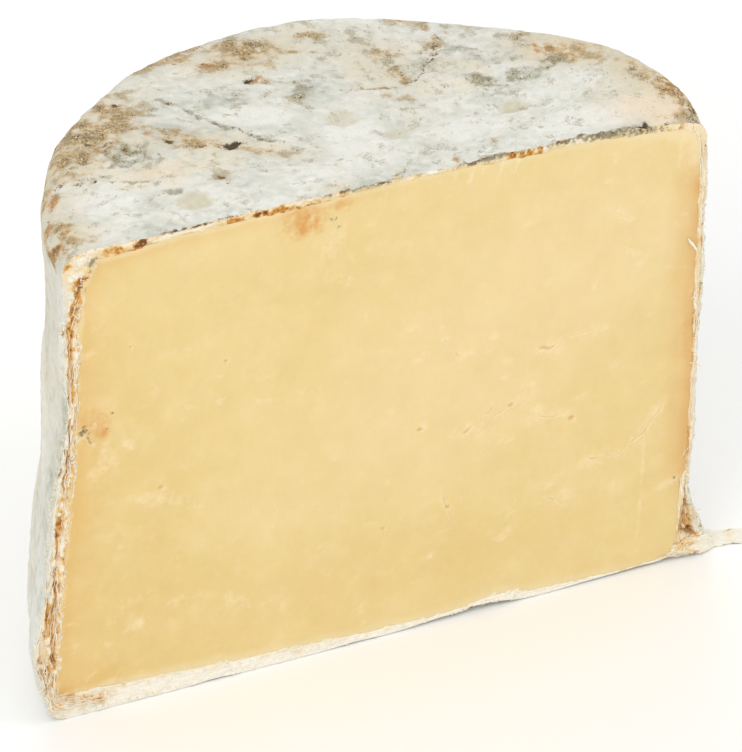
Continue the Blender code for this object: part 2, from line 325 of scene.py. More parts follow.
# %% [markdown]
# Noise and patches
#
# Mould, stains and lumps have no outline that could be drawn, but each has a place, a size and a ragged
# edge. So two helpers carry most of the painting. A cloud is smooth noise of a known size. A patch is an
# oval whose edge is broken by a cloud, and a line patch does the same along a few points, for creases and
# cracks.

# %% Cloud, patch and line


def cloud(points, size, seed, octaves=3):
    """Noise from about -1 to 1 at each point. Its largest lumps are about size across."""
    spots = points / size + 17.3 * seed
    return np.array([noise.fractal(spot, 1.0, 2.0, octaves) for spot in spots.tolist()])


def oval(u, v, at, reach, turn=0.0):
    """How far out each point is from the middle of an oval: 1 on the oval itself."""
    slope = math.radians(turn)
    along = (u - at[0]) * math.cos(slope) + (v - at[1]) * math.sin(slope)
    across = (v - at[1]) * math.cos(slope) - (u - at[0]) * math.sin(slope)
    return np.hypot(along / reach[0], across / reach[1])


def patch(u, v, broken, *place):
    """1 in the middle of an oval patch and 0 outside it, with an edge made uneven by a noise."""
    return ease(oval(u, v, *place) + 0.5 * broken, 1.3, 0.6)


def blot(u, v, broken, *place):
    """Like a patch, but strongest in the middle and fading outwards, as a stain that has soaked in."""
    away = oval(u, v, *place)
    return np.clip(np.exp(-0.9 * away**2) * (1 + 1.3 * broken), 0, 1) * ease(away, 2.2, 1.4)


def laid(rows, u, v, broken, share=1.0, shape=patch):
    """The strength of each row's patch or blot at each point. A row without a turn lies straight."""
    for at_u, at_v, along, across, amount, *turn in rows:
        yield share * amount * shape(u, v, broken, (at_u, at_v), (along, across), *turn)


def most(*layers):
    """The strongest of several layers at each point."""
    return functools.reduce(np.maximum, layers)


def line_distance(u, v, line):
    """Each point's distance to a broken line, its signed side of it, and its share along it."""
    best = np.full(len(u), np.inf)
    side = np.zeros(len(u))
    share = np.zeros(len(u))
    for number, (start, end) in enumerate(zip(line[:-1], line[1:])):
        run_u, run_v = end[0] - start[0], end[1] - start[1]
        length = math.hypot(run_u, run_v)
        at = np.clip(((u - start[0]) * run_u + (v - start[1]) * run_v) / length**2, 0, 1)
        away_u, away_v = u - start[0] - at * run_u, v - start[1] - at * run_v
        away = np.hypot(away_u, away_v)
        nearer = away < best
        best = np.where(nearer, away, best)
        side = np.where(nearer, (run_u * away_v - run_v * away_u) / length, side)
        share = np.where(nearer, (number + at) / (len(line) - 1), share)
    return best, side, share


def tinted(colour, *tints):
    """Colours moved towards one target after another, each given with its amount at each point."""
    for target, amount in tints:
        colour = colour + (target - colour) * np.clip(amount, 0, 1)[:, None]
    return colour


# %% Mesh helpers
SHARP_DEGREES = 58.0
AT_THE_CUT = 0.002


def grid_faces(rows, columns, ring=False, tube=False):
    """The quads of a grid stored row by row. A ring joins its last row to its first, a tube its columns."""
    index = np.arange(rows * columns).reshape(rows, columns)
    if ring:
        index = np.concatenate([index, index[:1]])
    if tube:
        index = np.concatenate([index, index[:, :1]], axis=1)
    corners = [index[:-1, :-1], index[:-1, 1:], index[1:, 1:], index[1:, :-1]]
    return np.stack(corners, axis=-1).reshape(-1, 4).tolist()


def new_mesh(name, points, faces=(), edges=()):
    mesh = bpy.data.meshes.new(name)
    mesh.from_pydata(points.tolist(), edges, faces)
    return mesh


def mesh_points(mesh):
    flat = np.empty(len(mesh.vertices) * 3, np.float32)
    mesh.vertices.foreach_get("co", flat)
    return flat.reshape(-1, 3).astype(float)


def move_points(mesh, points):
    mesh.vertices.foreach_set("co", points.astype(np.float32).ravel())


def store(mesh, **layers):
    """Keeps one number, or one colour, for each point of a mesh, in a layer of each name."""
    for name, values in layers.items():
        if values.ndim == 1:
            layer = mesh.attributes.new(name, "FLOAT", "POINT")
            layer.data.foreach_set("value", values.astype(np.float32))
            continue
        layer = mesh.attributes.new(name, "FLOAT_COLOR", "POINT")
        full = np.column_stack([values, np.ones(len(values))])
        layer.data.foreach_set("color", full.astype(np.float32).ravel())


def finish_piece(name, mesh, material):
    """Shows a mesh that was made in truckle coordinates as a piece of the cheese, riding on its one body."""
    mesh.transform(Matrix.Translation((0, AXIS_Y, 0)))
    mesh.materials.clear()
    mesh.materials.append(material)
    mesh.shade_smooth()
    mesh.set_sharp_from_angle(angle=math.radians(SHARP_DEGREES))
    piece = bpy.data.objects.new(name, mesh)
    bpy.context.scene.collection.objects.link(piece)
    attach(piece, "root")
    mesh.calc_loop_triangles()
    print(name, len(mesh.loop_triangles), "triangles")
    return piece


def write_outward(shape, mesh):
    """Turns the faces of a closed shape outward, by the sign of its volume, and writes it to a mesh."""
    bmesh.ops.recalc_face_normals(shape, faces=shape.faces)
    if shape.calc_volume(signed=True) < 0:
        bmesh.ops.reverse_faces(shape, faces=shape.faces)
    shape.to_mesh(mesh)
    shape.free()


def turn_out(mesh):
    shape = bmesh.new()
    shape.from_mesh(mesh)
    write_outward(shape, mesh)


def close_behind(mesh, recess, inset, hub):
    """Closes an open crust. Its border is drawn back into the cheese and joined to a hidden point there."""
    shape = bmesh.new()
    shape.from_mesh(mesh)
    border = [edge for edge in shape.edges if edge.is_boundary]
    grown = bmesh.ops.extrude_edge_only(shape, edges=border)["geom"]
    middle = Vector(hub)
    for vert in (part for part in grown if isinstance(part, bmesh.types.BMVert)):
        inward = middle - vert.co
        inward.y = 0 if vert.co.y < AT_THE_CUT else inward.y
        vert.co += inward.normalized() * inset
        vert.co.y += recess if vert.co.y < AT_THE_CUT else 0
    last = shape.verts.new(middle)
    for edge in [e for e in grown if isinstance(e, bmesh.types.BMEdge) and e.is_boundary]:
        shape.faces.new((*edge.verts, last))
    write_outward(shape, mesh)


# %% [markdown]
# The rind: form
#
# The rind is cloth, cheese skin and mould grown into one crust. It could be a smooth shell with a bumpy
# material, but its lumps, chips and folds show against the light and in the outline, so they are real
# geometry. A crust point is a point of the slumped truckle, pushed in or out by a relief that adds clouds
# of three sizes and the marks that stand out: chips, slits, dimples and two folds where the cloth
# overlaps.

# %% Marks in the relief of the top
TOP_PITS = (
    # x, y, half length, half width, depth, turn in degrees (none when it lies straight)
    (-0.055, 0.063, 0.005, 0.003, 0.002, 20), (-0.126, 0.043, 0.0042, 0.0012, 0.0014, 30),
    (-0.09, 0.069, 0.0042, 0.0012, 0.0013, 70), (-0.13, 0.058, 0.0036, 0.0014, 0.0013, 100),
    (-0.081, 0.079, 0.0038, 0.0024, 0.0013, 60), (-0.015, 0.116, 0.004, 0.0018, 0.0014, 160),
    (-0.021, 0.12, 0.004, 0.0022, 0.0014, 20), (0.069, 0.105, 0.0095, 0.0014, 0.0014, 45),
    (0.03, 0.127, 0.0022, 0.0018, 0.0014), (-0.087, 0.097, 0.003, 0.0018, 0.0012, 20),
    (-0.117, 0.092, 0.0034, 0.0022, 0.0012, 120), (-0.144, 0.066, 0.0034, 0.002, 0.0012, 10),
    (-0.072, 0.035, 0.0034, 0.0026, 0.001, 60), (-0.098, 0.034, 0.003, 0.0022, 0.0009, 40),
    (0.012, 0.009, 0.011, 0.0012, 0.001, 47), (0.137, 0.002, 0.0036, 0.0024, 0.0012),
)
DIMPLES = (
    (0.023, 0.044, 0.009, 0.007, 0.0016), (-0.101, 0.074, 0.01, 0.007, 0.0016, 40),
    (0.086, 0.044, 0.009, 0.007, 0.0015), (0.005, 0.068, 0.009, 0.01, 0.0009),
    (-0.092, 0.02, 0.01, 0.008, 0.0011), (-0.14, 0.03, 0.012, 0.009, 0.0009),
    (0.055, 0.07, 0.014, 0.01, 0.0009, 20), (0.12, 0.04, 0.014, 0.009, 0.001),
    (-0.03, 0.11, 0.016, 0.008, 0.001, 10), (0.105, 0.075, 0.012, 0.007, -0.0009),
    (-0.045, 0.14, 0.01, 0.005, -0.001),
)
CREASES = (
    # points (x, y), half width, step, tan, moss, dark; the moss and dark of a crease are partly a painted
    # shade in the fold
    (((-0.0725, 0.1257), (-0.0659, 0.1126), (-0.0579, 0.0945), (-0.0456, 0.0745), (-0.0322, 0.0573),
      (-0.0218, 0.0395)), 0.0011, 0.0011, 0.2, 0.8, 0.55),
    (((-0.131, 0.0926), (-0.1179, 0.0952), (-0.1048, 0.0955), (-0.0882, 0.0976), (-0.08, 0.0862),
      (-0.0722, 0.0738), (-0.0559, 0.0608), (-0.0402, 0.0513), (-0.0251, 0.0357)),
     0.003, 0.0005, 0.8, 0.2, 0.3),
    (((0.0792, 0.1117), (0.0691, 0.1021), (0.0591, 0.0925), (0.047, 0.084)), 0.0013, 0.0007, 0.5, 0.6, 0.85),
    (((0.047, 0.084), (0.0279, 0.0896), (0.0263, 0.0976)), 0.0013, 0.0004, 0.85, 0.3, 0.4),
    (((0.0189, 0.0162), (0.0085, 0.006), (0.003, 0.0022)), 0.001, 0.0004, 0.85, 0.2, 0.3),
    (((-0.145, 0.0648), (-0.127, 0.0586), (-0.11, 0.05), (-0.09, 0.04)), 0.0012, 0.0005, 0.25, 0.7, 0.25),
)
FOLD_REACH = 0.009
SIDE_SWELLS = (
    # degrees round, height, spread round, spread up, push
    (157, 0.122, 16, 0.026, -0.0034), (156, 0.034, 16, 0.026, 0.0024), (176, 0.14, 5, 0.05, -0.0012),
    (182, 0.0, 13, 0.026, -0.0052),
)
SIDE_FOLDS = (
    # points (degrees round, height), half width, push
    (((158, 0.196), (164, 0.17), (170, 0.14), (175, 0.112)), 0.0045, 0.0024),
    (((150, 0.12), (158, 0.094), (166, 0.076), (174, 0.066)), 0.005, 0.002),
    (((140, 0.21), (146, 0.176), (149, 0.13), (154, 0.094)), 0.0055, 0.0016),
    (((160, 0.07), (165, 0.05), (171, 0.036)), 0.0045, 0.0016),
)
EDGE_STIPPLE = (
    # from x, to x, dark, moss
    (-0.128, -0.082, 0.8, 0.9), (-0.006, 0.004, 0.6, 0.6), (0.04, 0.066, 0.75, 0.9),
    (0.086, 0.137, 0.85, 1.0),
)
FOOT_SETTLED = (0.0006, 0.01)
CUT_EDGE_REACH = 0.0035

# %% Relief of the rind
ON_TOP = SIDE_START + 0.006


def share_on_top(run):
    """1 on the top and over its rim, and 0 further down the side."""
    return ease(run, ON_TOP, SIDE_START - 0.006)


def crust_relief(points, run):
    """How far the crust stands out from the plain slumped surface at each point."""
    x, y, z = points.T
    top = share_on_top(run)
    relief = 0.00042 * cloud(points, 0.011, 1) + 0.00022 * cloud(points, 0.0042, 2, 2)
    drawn_down = points * (1.0, 1.0, 0.34)
    folds = cloud(drawn_down, 0.034, 3)
    relief += (1 - top) * (0.0011 * (0.45 - np.abs(folds)) + 0.0005 * cloud(drawn_down, 0.012, 4))
    relief += top * 0.00035 * cloud(points * (0.45, 1.0, 1.0), 0.01, 5)
    broken = 0.6 * cloud(points, 0.0035, 6, 2)
    for depth in laid(TOP_PITS, x, y, broken, top * 0.75):
        relief -= depth
    for depth in laid(DIMPLES, x, y, 0.3 * broken, top):
        relief -= depth
    for line, _, step, *_ in CREASES:
        away, side, _ = line_distance(x, y, line)
        relief += top * step / 2 * np.tanh(side / 0.0009) * hump(away, FOLD_REACH)
    round_by = np.degrees(np.arctan2(y, x))
    for at_turn, at_z, spread_turn, spread_z, push in SIDE_SWELLS:
        swell = np.exp(-(((round_by - at_turn) / spread_turn) ** 2) - ((z - at_z) / spread_z) ** 2)
        relief += (1 - top) * push * swell
    for line, half_width, push in SIDE_FOLDS:
        away, side, share = line_distance(np.radians(round_by) * TOP_RADIUS, z, unrolled(line))
        away = away * (1 + 0.4 * broken) / np.where(side > 0, 0.5, 1.4)
        relief += (1 - top) * push * hump(away, half_width) * ease(share, 0, 0.3) * ease(share, 1, 0.7)
    torn = 0.00065 * cloud(points, 0.005, 7, 3) + 0.00035 * cloud(points, 0.0019, 8, 2)
    relief += hump(y, CUT_EDGE_REACH) * torn
    return relief * ease(z, *FOOT_SETTLED)


def unrolled(line):
    """A line given by degrees round and height, laid out flat in metres."""
    return [(math.radians(turn) * TOP_RADIUS, at_z) for turn, at_z in line]


BASE_ARCHES = (
    # x, reach along x, lift of the cut's lower edge
    (0.055, 0.014, 0.003), (-0.02, 0.012, 0.0008), (0.03, 0.02, 0.002), (0.112, 0.016, 0.001),
    (0.136, 0.012, 0.0018), (0.166, 0.014, 0.0048), (-0.095, 0.01, 0.0009),
)
ARCH_DEPTH = 0.007


def crust_place(around, run):
    """Points of the finished crust. Near the cut, the base lifts a little in a few places."""
    points, outward = rind_place(around, run)
    points = points + outward * crust_relief(points, run)[:, None]
    near_cut = hump(points[:, 1], ARCH_DEPTH) * ease(run, BASE_START - 0.004, BASE_START)
    for at_x, reach, lift in BASE_ARCHES:
        points[:, 2] += near_cut * lift * hump(points[:, 0] - at_x, reach)
    return points


# %% [markdown]
# A polar grid follows the drum, but its cells would bunch up at the middle of the top and waste faces. So
# the rings start with few steps and double them twice on the way out, which keeps every cell near one
# millimetre.

# %% Mesh of the top crust
TOP_CELL = 0.00092
TOP_STEPS = 576
DOUBLED_AT = (0.042, 0.084)
TOP_END = SIDE_START + 0.022


def steps_at(run):
    return TOP_STEPS // 4 if run < DOUBLED_AT[0] else TOP_STEPS // 2 if run < DOUBLED_AT[1] else TOP_STEPS


top_runs = np.linspace(0.0005, TOP_END, round(TOP_END / TOP_CELL))
top_counts = [steps_at(run) for run in top_runs]
top_starts = np.concatenate([[0], np.cumsum([count + 1 for count in top_counts])])
top_around = np.concatenate([np.linspace(0, math.pi, count + 1) for count in top_counts])
top_run = np.repeat(top_runs, [count + 1 for count in top_counts])
top_points = crust_place(top_around, top_run)

top_faces = []
for ring in range(len(top_runs) - 1):
    inner, outer = top_starts[ring], top_starts[ring + 1]
    if top_counts[ring] == top_counts[ring + 1]:
        for step in range(top_counts[ring]):
            top_faces.append((inner + step, outer + step, outer + step + 1, inner + step + 1))
        continue
    for step in range(top_counts[ring]):
        far = outer + 2 * step
        top_faces.append((inner + step, far, far + 1))
        top_faces.append((inner + step, far + 1, inner + step + 1))
        top_faces.append((inner + step + 1, far + 1, far + 2))

top_mesh = new_mesh("rind_top", top_points, top_faces)
print("top crust:", len(top_points), "points")

# %% Mesh of the side crust
SIDE_CELL = 0.00145
SIDE_STEPS = 480
FINE_BASE_LAP = 0.008
BASE_CELL = 0.006
TUCK = (0.0003, 0.003)

fine_runs = np.arange(TOP_END - TUCK[1], BASE_START + FINE_BASE_LAP, SIDE_CELL)
base_runs = np.arange(fine_runs[-1] + BASE_CELL, WHOLE_RUN - 0.001, BASE_CELL)
side_runs = np.concatenate([fine_runs, base_runs, [WHOLE_RUN - 0.0005]])
side_around = np.tile(np.linspace(0, math.pi, SIDE_STEPS + 1), len(side_runs))
side_run = np.repeat(side_runs, SIDE_STEPS + 1)
side_points = crust_place(side_around, side_run)
tucked_in = TUCK[0] * ease(side_run, TOP_END + 0.0005, TOP_END - TUCK[1])
side_points[:, 0] -= tucked_in * np.cos(side_around)
side_points[:, 1] -= tucked_in * np.sin(side_around)

side_faces = grid_faces(len(side_runs), SIDE_STEPS + 1)
side_mesh = new_mesh("rind_side", side_points, side_faces)
print("side crust:", len(side_points), "points")

# %% [markdown]
# The rind: colours
#
# From a step away the rind is grey and white. Nearer, it is a soft ground of white, cream and cool grey
# mould, and over it lie granular stains: tan and rust where the cloth is bare, greenish grey where the
# mould is thin, and specks that are nearly black. A picture could hold all that, but painted numbers stay
# editable. Each kind of stain is one number for each point, from 0 to 1. The material breaks it into
# grains with fine noise, so that the grains are finer than the mesh. The places were read off the
# photograph, in metres on the top.

# %% Places of the stains on the top
# Each row: x, y, reach along, reach across, strength, and the turn in degrees where it doesn't lie straight
TAN_PATCHES = (
    (-0.116, 0.102, 0.038, 0.019, 1.0, 42), (-0.096, 0.112, 0.018, 0.012, 0.9, 60),
    (0.16, 0.022, 0.008, 0.02, 1.0, 8), (-0.137, 0.084, 0.012, 0.008, 0.8, 50),
    (-0.1, 0.106, 0.02, 0.01, 0.7, 10), (-0.075, 0.08, 0.009, 0.008, 0.8),
    (-0.069, 0.071, 0.01, 0.004, 0.8, -30), (-0.09, 0.098, 0.01, 0.006, 0.55),
    (-0.06, 0.066, 0.012, 0.004, 0.5, -20), (-0.046, 0.053, 0.008, 0.004, 0.55, -50),
    (-0.034, 0.046, 0.008, 0.003, 0.5, -35), (-0.026, 0.138, 0.012, 0.005, 0.85),
    (-0.01, 0.146, 0.014, 0.01, 0.9), (-0.02, 0.157, 0.014, 0.005, 0.8),
    (-0.042, 0.152, 0.007, 0.005, 0.75), (-0.005, 0.13, 0.004, 0.003, 0.75),
    (-0.014, 0.117, 0.004, 0.006, 0.6), (0.02, 0.15, 0.006, 0.003, 0.7), (0.028, 0.146, 0.008, 0.004, 0.7),
    (0.012, 0.136, 0.01, 0.0018, 0.8, -25), (-0.008, 0.092, 0.006, 0.006, 0.45),
    (0.05, 0.098, 0.004, 0.01, 0.75), (0.052, 0.118, 0.008, 0.006, 0.6), (0.075, 0.118, 0.006, 0.008, 0.7),
    (0.082, 0.13, 0.003, 0.014, 0.7), (0.038, 0.087, 0.011, 0.0016, 0.85, -17),
    (0.035, 0.08, 0.008, 0.003, 0.5), (0.043, 0.074, 0.006, 0.003, 0.45), (0.127, 0.086, 0.003, 0.006, 0.8),
    (0.137, 0.074, 0.015, 0.012, 0.72, -50), (0.12, 0.107, 0.005, 0.004, 0.6),
    (0.156, 0.046, 0.005, 0.009, 0.9, 20), (0.162, 0.026, 0.005, 0.013, 0.85, 10),
    (0.125, 0.02, 0.01, 0.008, 0.25), (0.063, 0.015, 0.005, 0.003, 0.45), (0.037, 0.005, 0.004, 0.003, 0.6),
    (-0.072, 0.035, 0.007, 0.006, 0.5), (-0.086, 0.05, 0.012, 0.007, 0.3, 60),
    (-0.158, 0.022, 0.006, 0.012, 0.8), (-0.15, 0.01, 0.01, 0.006, 0.4),
    (-0.166, 0.024, 0.004, 0.022, 0.85), (-0.155, 0.06, 0.004, 0.02, 0.7, -38),
)
RUST_PATCHES = (
    (0.162, 0.024, 0.004, 0.012, 1.0, 8), (-0.094, 0.122, 0.004, 0.004, 0.6),
    (0.122, 0.091, 0.003, 0.007, 0.8), (-0.086, 0.089, 0.005, 0.004, 0.9),
    (-0.11, 0.105, 0.009, 0.004, 0.45, 35), (-0.137, 0.08, 0.004, 0.002, 0.6),
    (-0.132, 0.086, 0.004, 0.0018, 0.55), (-0.166, 0.018, 0.0026, 0.0085, 1.0, 10),
    (-0.162, 0.034, 0.002, 0.008, 0.8, -20), (-0.156, 0.02, 0.003, 0.004, 0.7),
    (-0.035, 0.142, 0.003, 0.0026, 0.85), (-0.015, 0.12, 0.003, 0.0022, 0.55),
    (-0.0859, 0.0906, 0.007, 0.0045, 0.9, 20), (-0.035, 0.1409, 0.006, 0.0032, 0.85),
    (-0.0197, 0.1179, 0.004, 0.0022, 0.85), (-0.1517, 0.0542, 0.003, 0.008, 0.9, -30),
    (-0.1667, 0.0145, 0.003, 0.006, 1.0), (-0.0084, 0.1342, 0.006, 0.003, 0.6),
    (0.127, 0.086, 0.0022, 0.005, 0.85), (0.158, 0.043, 0.0032, 0.0045, 0.85),
    (0.163, 0.028, 0.003, 0.01, 0.75, 10), (0.15, 0.055, 0.005, 0.004, 0.6, -50),
    (0.037, 0.005, 0.003, 0.002, 0.6), (-0.072, 0.035, 0.0024, 0.0022, 0.6),
    (-0.076, 0.074, 0.004, 0.0022, 0.6, -40), (0.044, 0.0855, 0.007, 0.0009, 0.6, -17),
)
MOSS_PATCHES = (
    (0.084, 0.075, 0.009, 0.006, 0.95), (0.106, 0.0655, 0.01, 0.005, 0.9, -10),
    (0.123, 0.073, 0.008, 0.006, 0.85), (0.0515, 0.108, 0.005, 0.018, 0.7),
    (-0.102, 0.077, 0.009, 0.01, 1.0), (0.164, 0.003, 0.004, 0.008, 0.9),
    (-0.105, 0.075, 0.011, 0.014, 0.85), (-0.106, 0.066, 0.006, 0.006, 0.8),
    (-0.122, 0.082, 0.012, 0.005, 0.55, 20), (-0.145, 0.057, 0.006, 0.005, 0.45),
    (-0.127, 0.06, 0.009, 0.004, 0.4), (-0.002, 0.1, 0.008, 0.012, 0.8), (0.095, 0.068, 0.018, 0.008, 0.85),
    (0.12, 0.069, 0.012, 0.006, 0.65), (0.09, 0.076, 0.008, 0.004, 0.55), (0.075, 0.1, 0.03, 0.024, 0.42),
    (0.04, 0.132, 0.03, 0.015, 0.42), (-0.04, 0.106, 0.024, 0.01, 0.4, 10),
    (0.115, 0.1, 0.015, 0.02, 0.5, -40), (-0.0049, 0.148, 0.006, 0.005, 1.0),
    (-0.003, 0.0965, 0.006, 0.008, 0.8), (-0.132, 0.08, 0.006, 0.006, 0.9),
    (-0.098, 0.032, 0.004, 0.003, 0.8), (0.01, 0.03, 0.012, 0.005, 0.3, 20),
    (0.1, 0.09, 0.025, 0.008, 0.45, -20), (-0.018, 0.16, 0.02, 0.006, 0.5),
    (0.152, 0.036, 0.004, 0.012, 0.5, 20), (-0.098, 0.034, 0.004, 0.004, 0.65),
    (-0.11, 0.03, 0.015, 0.005, 0.25, 20), (0.02, 0.044, 0.007, 0.005, 0.28),
)
BOLD_SPOTS = 4
DARK_SPOTS = (
    (-0.055, 0.063, 0.0052, 0.003, 1.0, 20), (0.137, 0.002, 0.0042, 0.0026, 1.0),
    (0.03, 0.126, 0.0022, 0.002, 0.85), (-0.021, 0.12, 0.0034, 0.002, 0.85, 20),
    (0.1642, 0.005, 0.002, 0.007, 0.7), (-0.092, 0.122, 0.004, 0.0022, 0.75, 20),
    (-0.166, 0.019, 0.0014, 0.009, 0.7, 5), (-0.081, 0.079, 0.0028, 0.0022, 0.95, 60),
    (-0.09, 0.069, 0.0036, 0.0012, 0.8, 70), (-0.126, 0.043, 0.0036, 0.001, 0.75, 20),
    (-0.087, 0.097, 0.0026, 0.0016, 0.85, 20), (-0.117, 0.092, 0.0026, 0.002, 0.8, 120),
    (-0.113, 0.079, 0.0028, 0.0022, 0.7), (-0.111, 0.086, 0.0024, 0.0022, 0.7),
    (-0.126, 0.078, 0.004, 0.003, 0.6, 20), (-0.127, 0.083, 0.003, 0.0016, 0.55),
    (-0.144, 0.066, 0.0028, 0.002, 0.8), (-0.127, 0.059, 0.002, 0.0018, 0.7),
    (-0.072, 0.035, 0.0024, 0.0026, 0.65, 60), (-0.076, 0.071, 0.0016, 0.0016, 0.65),
    (-0.067, 0.097, 0.0014, 0.0016, 0.6), (-0.078, 0.094, 0.002, 0.0018, 0.55),
    (-0.026, 0.126, 0.002, 0.0016, 0.7), (-0.014, 0.117, 0.003, 0.003, 0.5),
    (-0.035, 0.143, 0.0026, 0.0024, 0.6), (-0.033, 0.11, 0.0012, 0.0012, 0.6),
    (-0.048, 0.149, 0.0026, 0.0014, 0.6), (0.047, 0.153, 0.0024, 0.0014, 0.65),
    (0.061, 0.142, 0.0022, 0.0018, 0.6), (0.069, 0.105, 0.011, 0.0011, 0.7, 45),
    (0.076, 0.116, 0.0036, 0.0024, 0.75, 20), (0.084, 0.126, 0.0022, 0.0044, 0.65),
    (0.052, 0.099, 0.0022, 0.006, 0.5, 10), (0.148, 0.002, 0.002, 0.0024, 0.8),
    (0.152, 0.044, 0.0018, 0.0024, 0.7), (0.155, 0.017, 0.003, 0.003, 0.55),
    (0.16, 0.03, 0.002, 0.007, 0.45), (0.012, 0.009, 0.009, 0.0008, 0.55, 47),
    (-0.125, 0.019, 0.002, 0.0009, 0.55), (-0.164, 0.02, 0.0012, 0.009, 0.55, 5),
)
CLOTH_PATCHES = (
    (0.12, 0.085, 0.05, 0.04, 1.0, -40), (-0.115, 0.098, 0.04, 0.02, 0.8, 40),
    (0.06, 0.12, 0.04, 0.03, 0.7), (-0.01, 0.148, 0.05, 0.014, 0.8),
)

# %% Ground colours of the mould
WHITE_MOULD_AND_HIGHLIGHT = linear(234, 234, 227)
PALE_MOULD = linear(215, 216, 206)
GREY_MOULD = linear(189, 194, 184)
CREAM_MOULD = linear(228, 218, 192)
BEIGE_MOULD = linear(202, 193, 163)
SANDY_MOULD = linear(216, 203, 173)
SIDE_MOULD = linear(227, 226, 213)
SIDE_SHADE = linear(182, 187, 168)
WHITE_AREAS = (
    (-0.0437, 0.1393, 0.012, 0.004, 1.5), (-0.0225, 0.1448, 0.009, 0.005, 1.0),
    (-0.1325, 0.0664, 0.02, 0.005, 1.2, 10), (-0.035, 0.086, 0.022, 0.01, 0.8, -20),
    (0.004, 0.05, 0.016, 0.03, 0.6), (0.11, 0.015, 0.03, 0.01, 0.7), (0.09, 0.083, 0.009, 0.003, 0.9),
    (-0.12, 0.07, 0.014, 0.006, 0.6, 20), (0.06, 0.03, 0.02, 0.012, 0.5), (-0.03, 0.02, 0.02, 0.012, 0.5),
)
BEIGE_AREAS = (
    (0.086, 0.043, 0.008, 0.007, 0.9), (0.023, 0.043, 0.007, 0.005, 0.6), (0.005, 0.068, 0.008, 0.01, 0.6),
    (-0.092, 0.021, 0.009, 0.008, 0.9), (-0.104, 0.055, 0.009, 0.007, 0.5), (0.135, 0.03, 0.02, 0.014, 0.4),
)
PEACH_MOULD = linear(240, 218, 188)
PEACH_AREAS = (
    (0.15, 0.004, 0.022, 0.012, 1.0), (0.128, 0.086, 0.018, 0.008, 0.6, -50),
    (-0.096, 0.052, 0.014, 0.008, 0.5), (0.14, 0.016, 0.014, 0.01, 0.6),
)
SANDY_AREAS = (
    (-0.125, 0.092, 0.045, 0.018, 1.0, 44), (-0.08, 0.078, 0.03, 0.01, 0.7, -25),
    (-0.012, 0.143, 0.04, 0.014, 0.8), (0.045, 0.11, 0.02, 0.026, 0.6),
    (0.13, 0.085, 0.024, 0.016, 0.9, -50), (0.156, 0.04, 0.014, 0.03, 1.0, 15),
    (0.158, 0.008, 0.016, 0.012, 1.0), (-0.16, 0.03, 0.012, 0.03, 0.8),
    (-0.04, 0.052, 0.02, 0.008, 0.5, -40),
)


def ground_colour(points, run):
    """The mould's own soft colours before any stain, with a painted highlight and a painted shade along each
    fold of the side.
    """
    x, y, z = points.T
    top = share_on_top(run)
    wiped = points * (0.55, 1.0, 0.6)
    broad = cloud(points, 0.06, 11)
    streaks = cloud(wiped, 0.016, 12, 4)
    warm = cloud(points, 0.04, 13)
    fine = cloud(points, 0.0045, 14, 3)
    lightness = 0.58 + 0.35 * broad + 0.7 * streaks + 0.6 * fine + 0.35 * (1 - top)
    broken = streaks + 0.5 * fine
    for strength in laid(WHITE_AREAS, x, y, broken, top):
        lightness += strength
    colour = GREY_MOULD + (PALE_MOULD - GREY_MOULD) * ease(lightness, -0.1, 0.5)[:, None]
    colour = tinted(
        colour,
        (WHITE_MOULD_AND_HIGHLIGHT, ease(lightness, 0.45, 1.15)),
        (CREAM_MOULD, 0.75 * ease(warm + 0.4 * fine, 0.1, 0.75)),
        (SIDE_MOULD, 0.55 * (1 - top)),
    )
    hanging = cloud(points * (1.0, 1.0, 0.4), 0.026, 15, 3)
    colour = tinted(
        colour,
        (SIDE_SHADE, 0.85 * (1 - top) * ease(hanging + 0.4 * fine, 0.12, 0.66)),
        (WHITE_MOULD_AND_HIGHLIGHT, 0.85 * (1 - top) * ease(hanging + 0.4 * fine, -0.1, -0.55)),
    )
    mottled = cloud(points * (1.0, 1.0, 0.55), 0.0085, 16, 4)
    colour = tinted(
        colour,
        (SIDE_SHADE, 0.6 * (1 - top) * ease(mottled + 0.5 * fine, 0.15, 0.75)),
        (WHITE_MOULD_AND_HIGHLIGHT, 0.7 * (1 - top) * ease(mottled + 0.5 * fine, -0.2, -0.7)),
    )
    around = np.arctan2(y, x) * TOP_RADIUS
    # Along each fold of the side: a painted highlight on one side of its line and a painted shade on the
    # other.
    for line, half_width, _ in SIDE_FOLDS:
        away, side, share = line_distance(around, z, unrolled(line))
        near = (1 - top) * ease(share, 0, 0.2) * ease(share, 1, 0.8) * hump(away, half_width)
        colour = tinted(
            colour,
            (WHITE_MOULD_AND_HIGHLIGHT, 0.9 * near * (side > 0)),
            (SIDE_SHADE, 0.8 * near * (side <= 0)),
        )
    beige = laid(BEIGE_AREAS, x, y, 0.5 * broken, top)
    sandy = laid(SANDY_AREAS, x, y, 0.6 * broken, 1.0, blot)
    peach = laid(PEACH_AREAS, x, y, 0.6 * broken, 1.0, blot)
    colour = tinted(colour, *((BEIGE_MOULD, strength) for strength in beige))
    colour = tinted(colour, *((SANDY_MOULD, np.maximum(top, 0.4) * 1.2 * strength) for strength in sandy))
    return tinted(colour, *((PEACH_MOULD, np.maximum(top, 0.5) * strength) for strength in peach))


# %% Stains as numbers on the crust
SIDE_STAIN_SIZE = 0.055
RIM_BAND = (SIDE_START - 0.016, SIDE_START + 0.022)
FOOT_BAND = (SIDE_START + SIDE_RUN - 0.045, BASE_START)


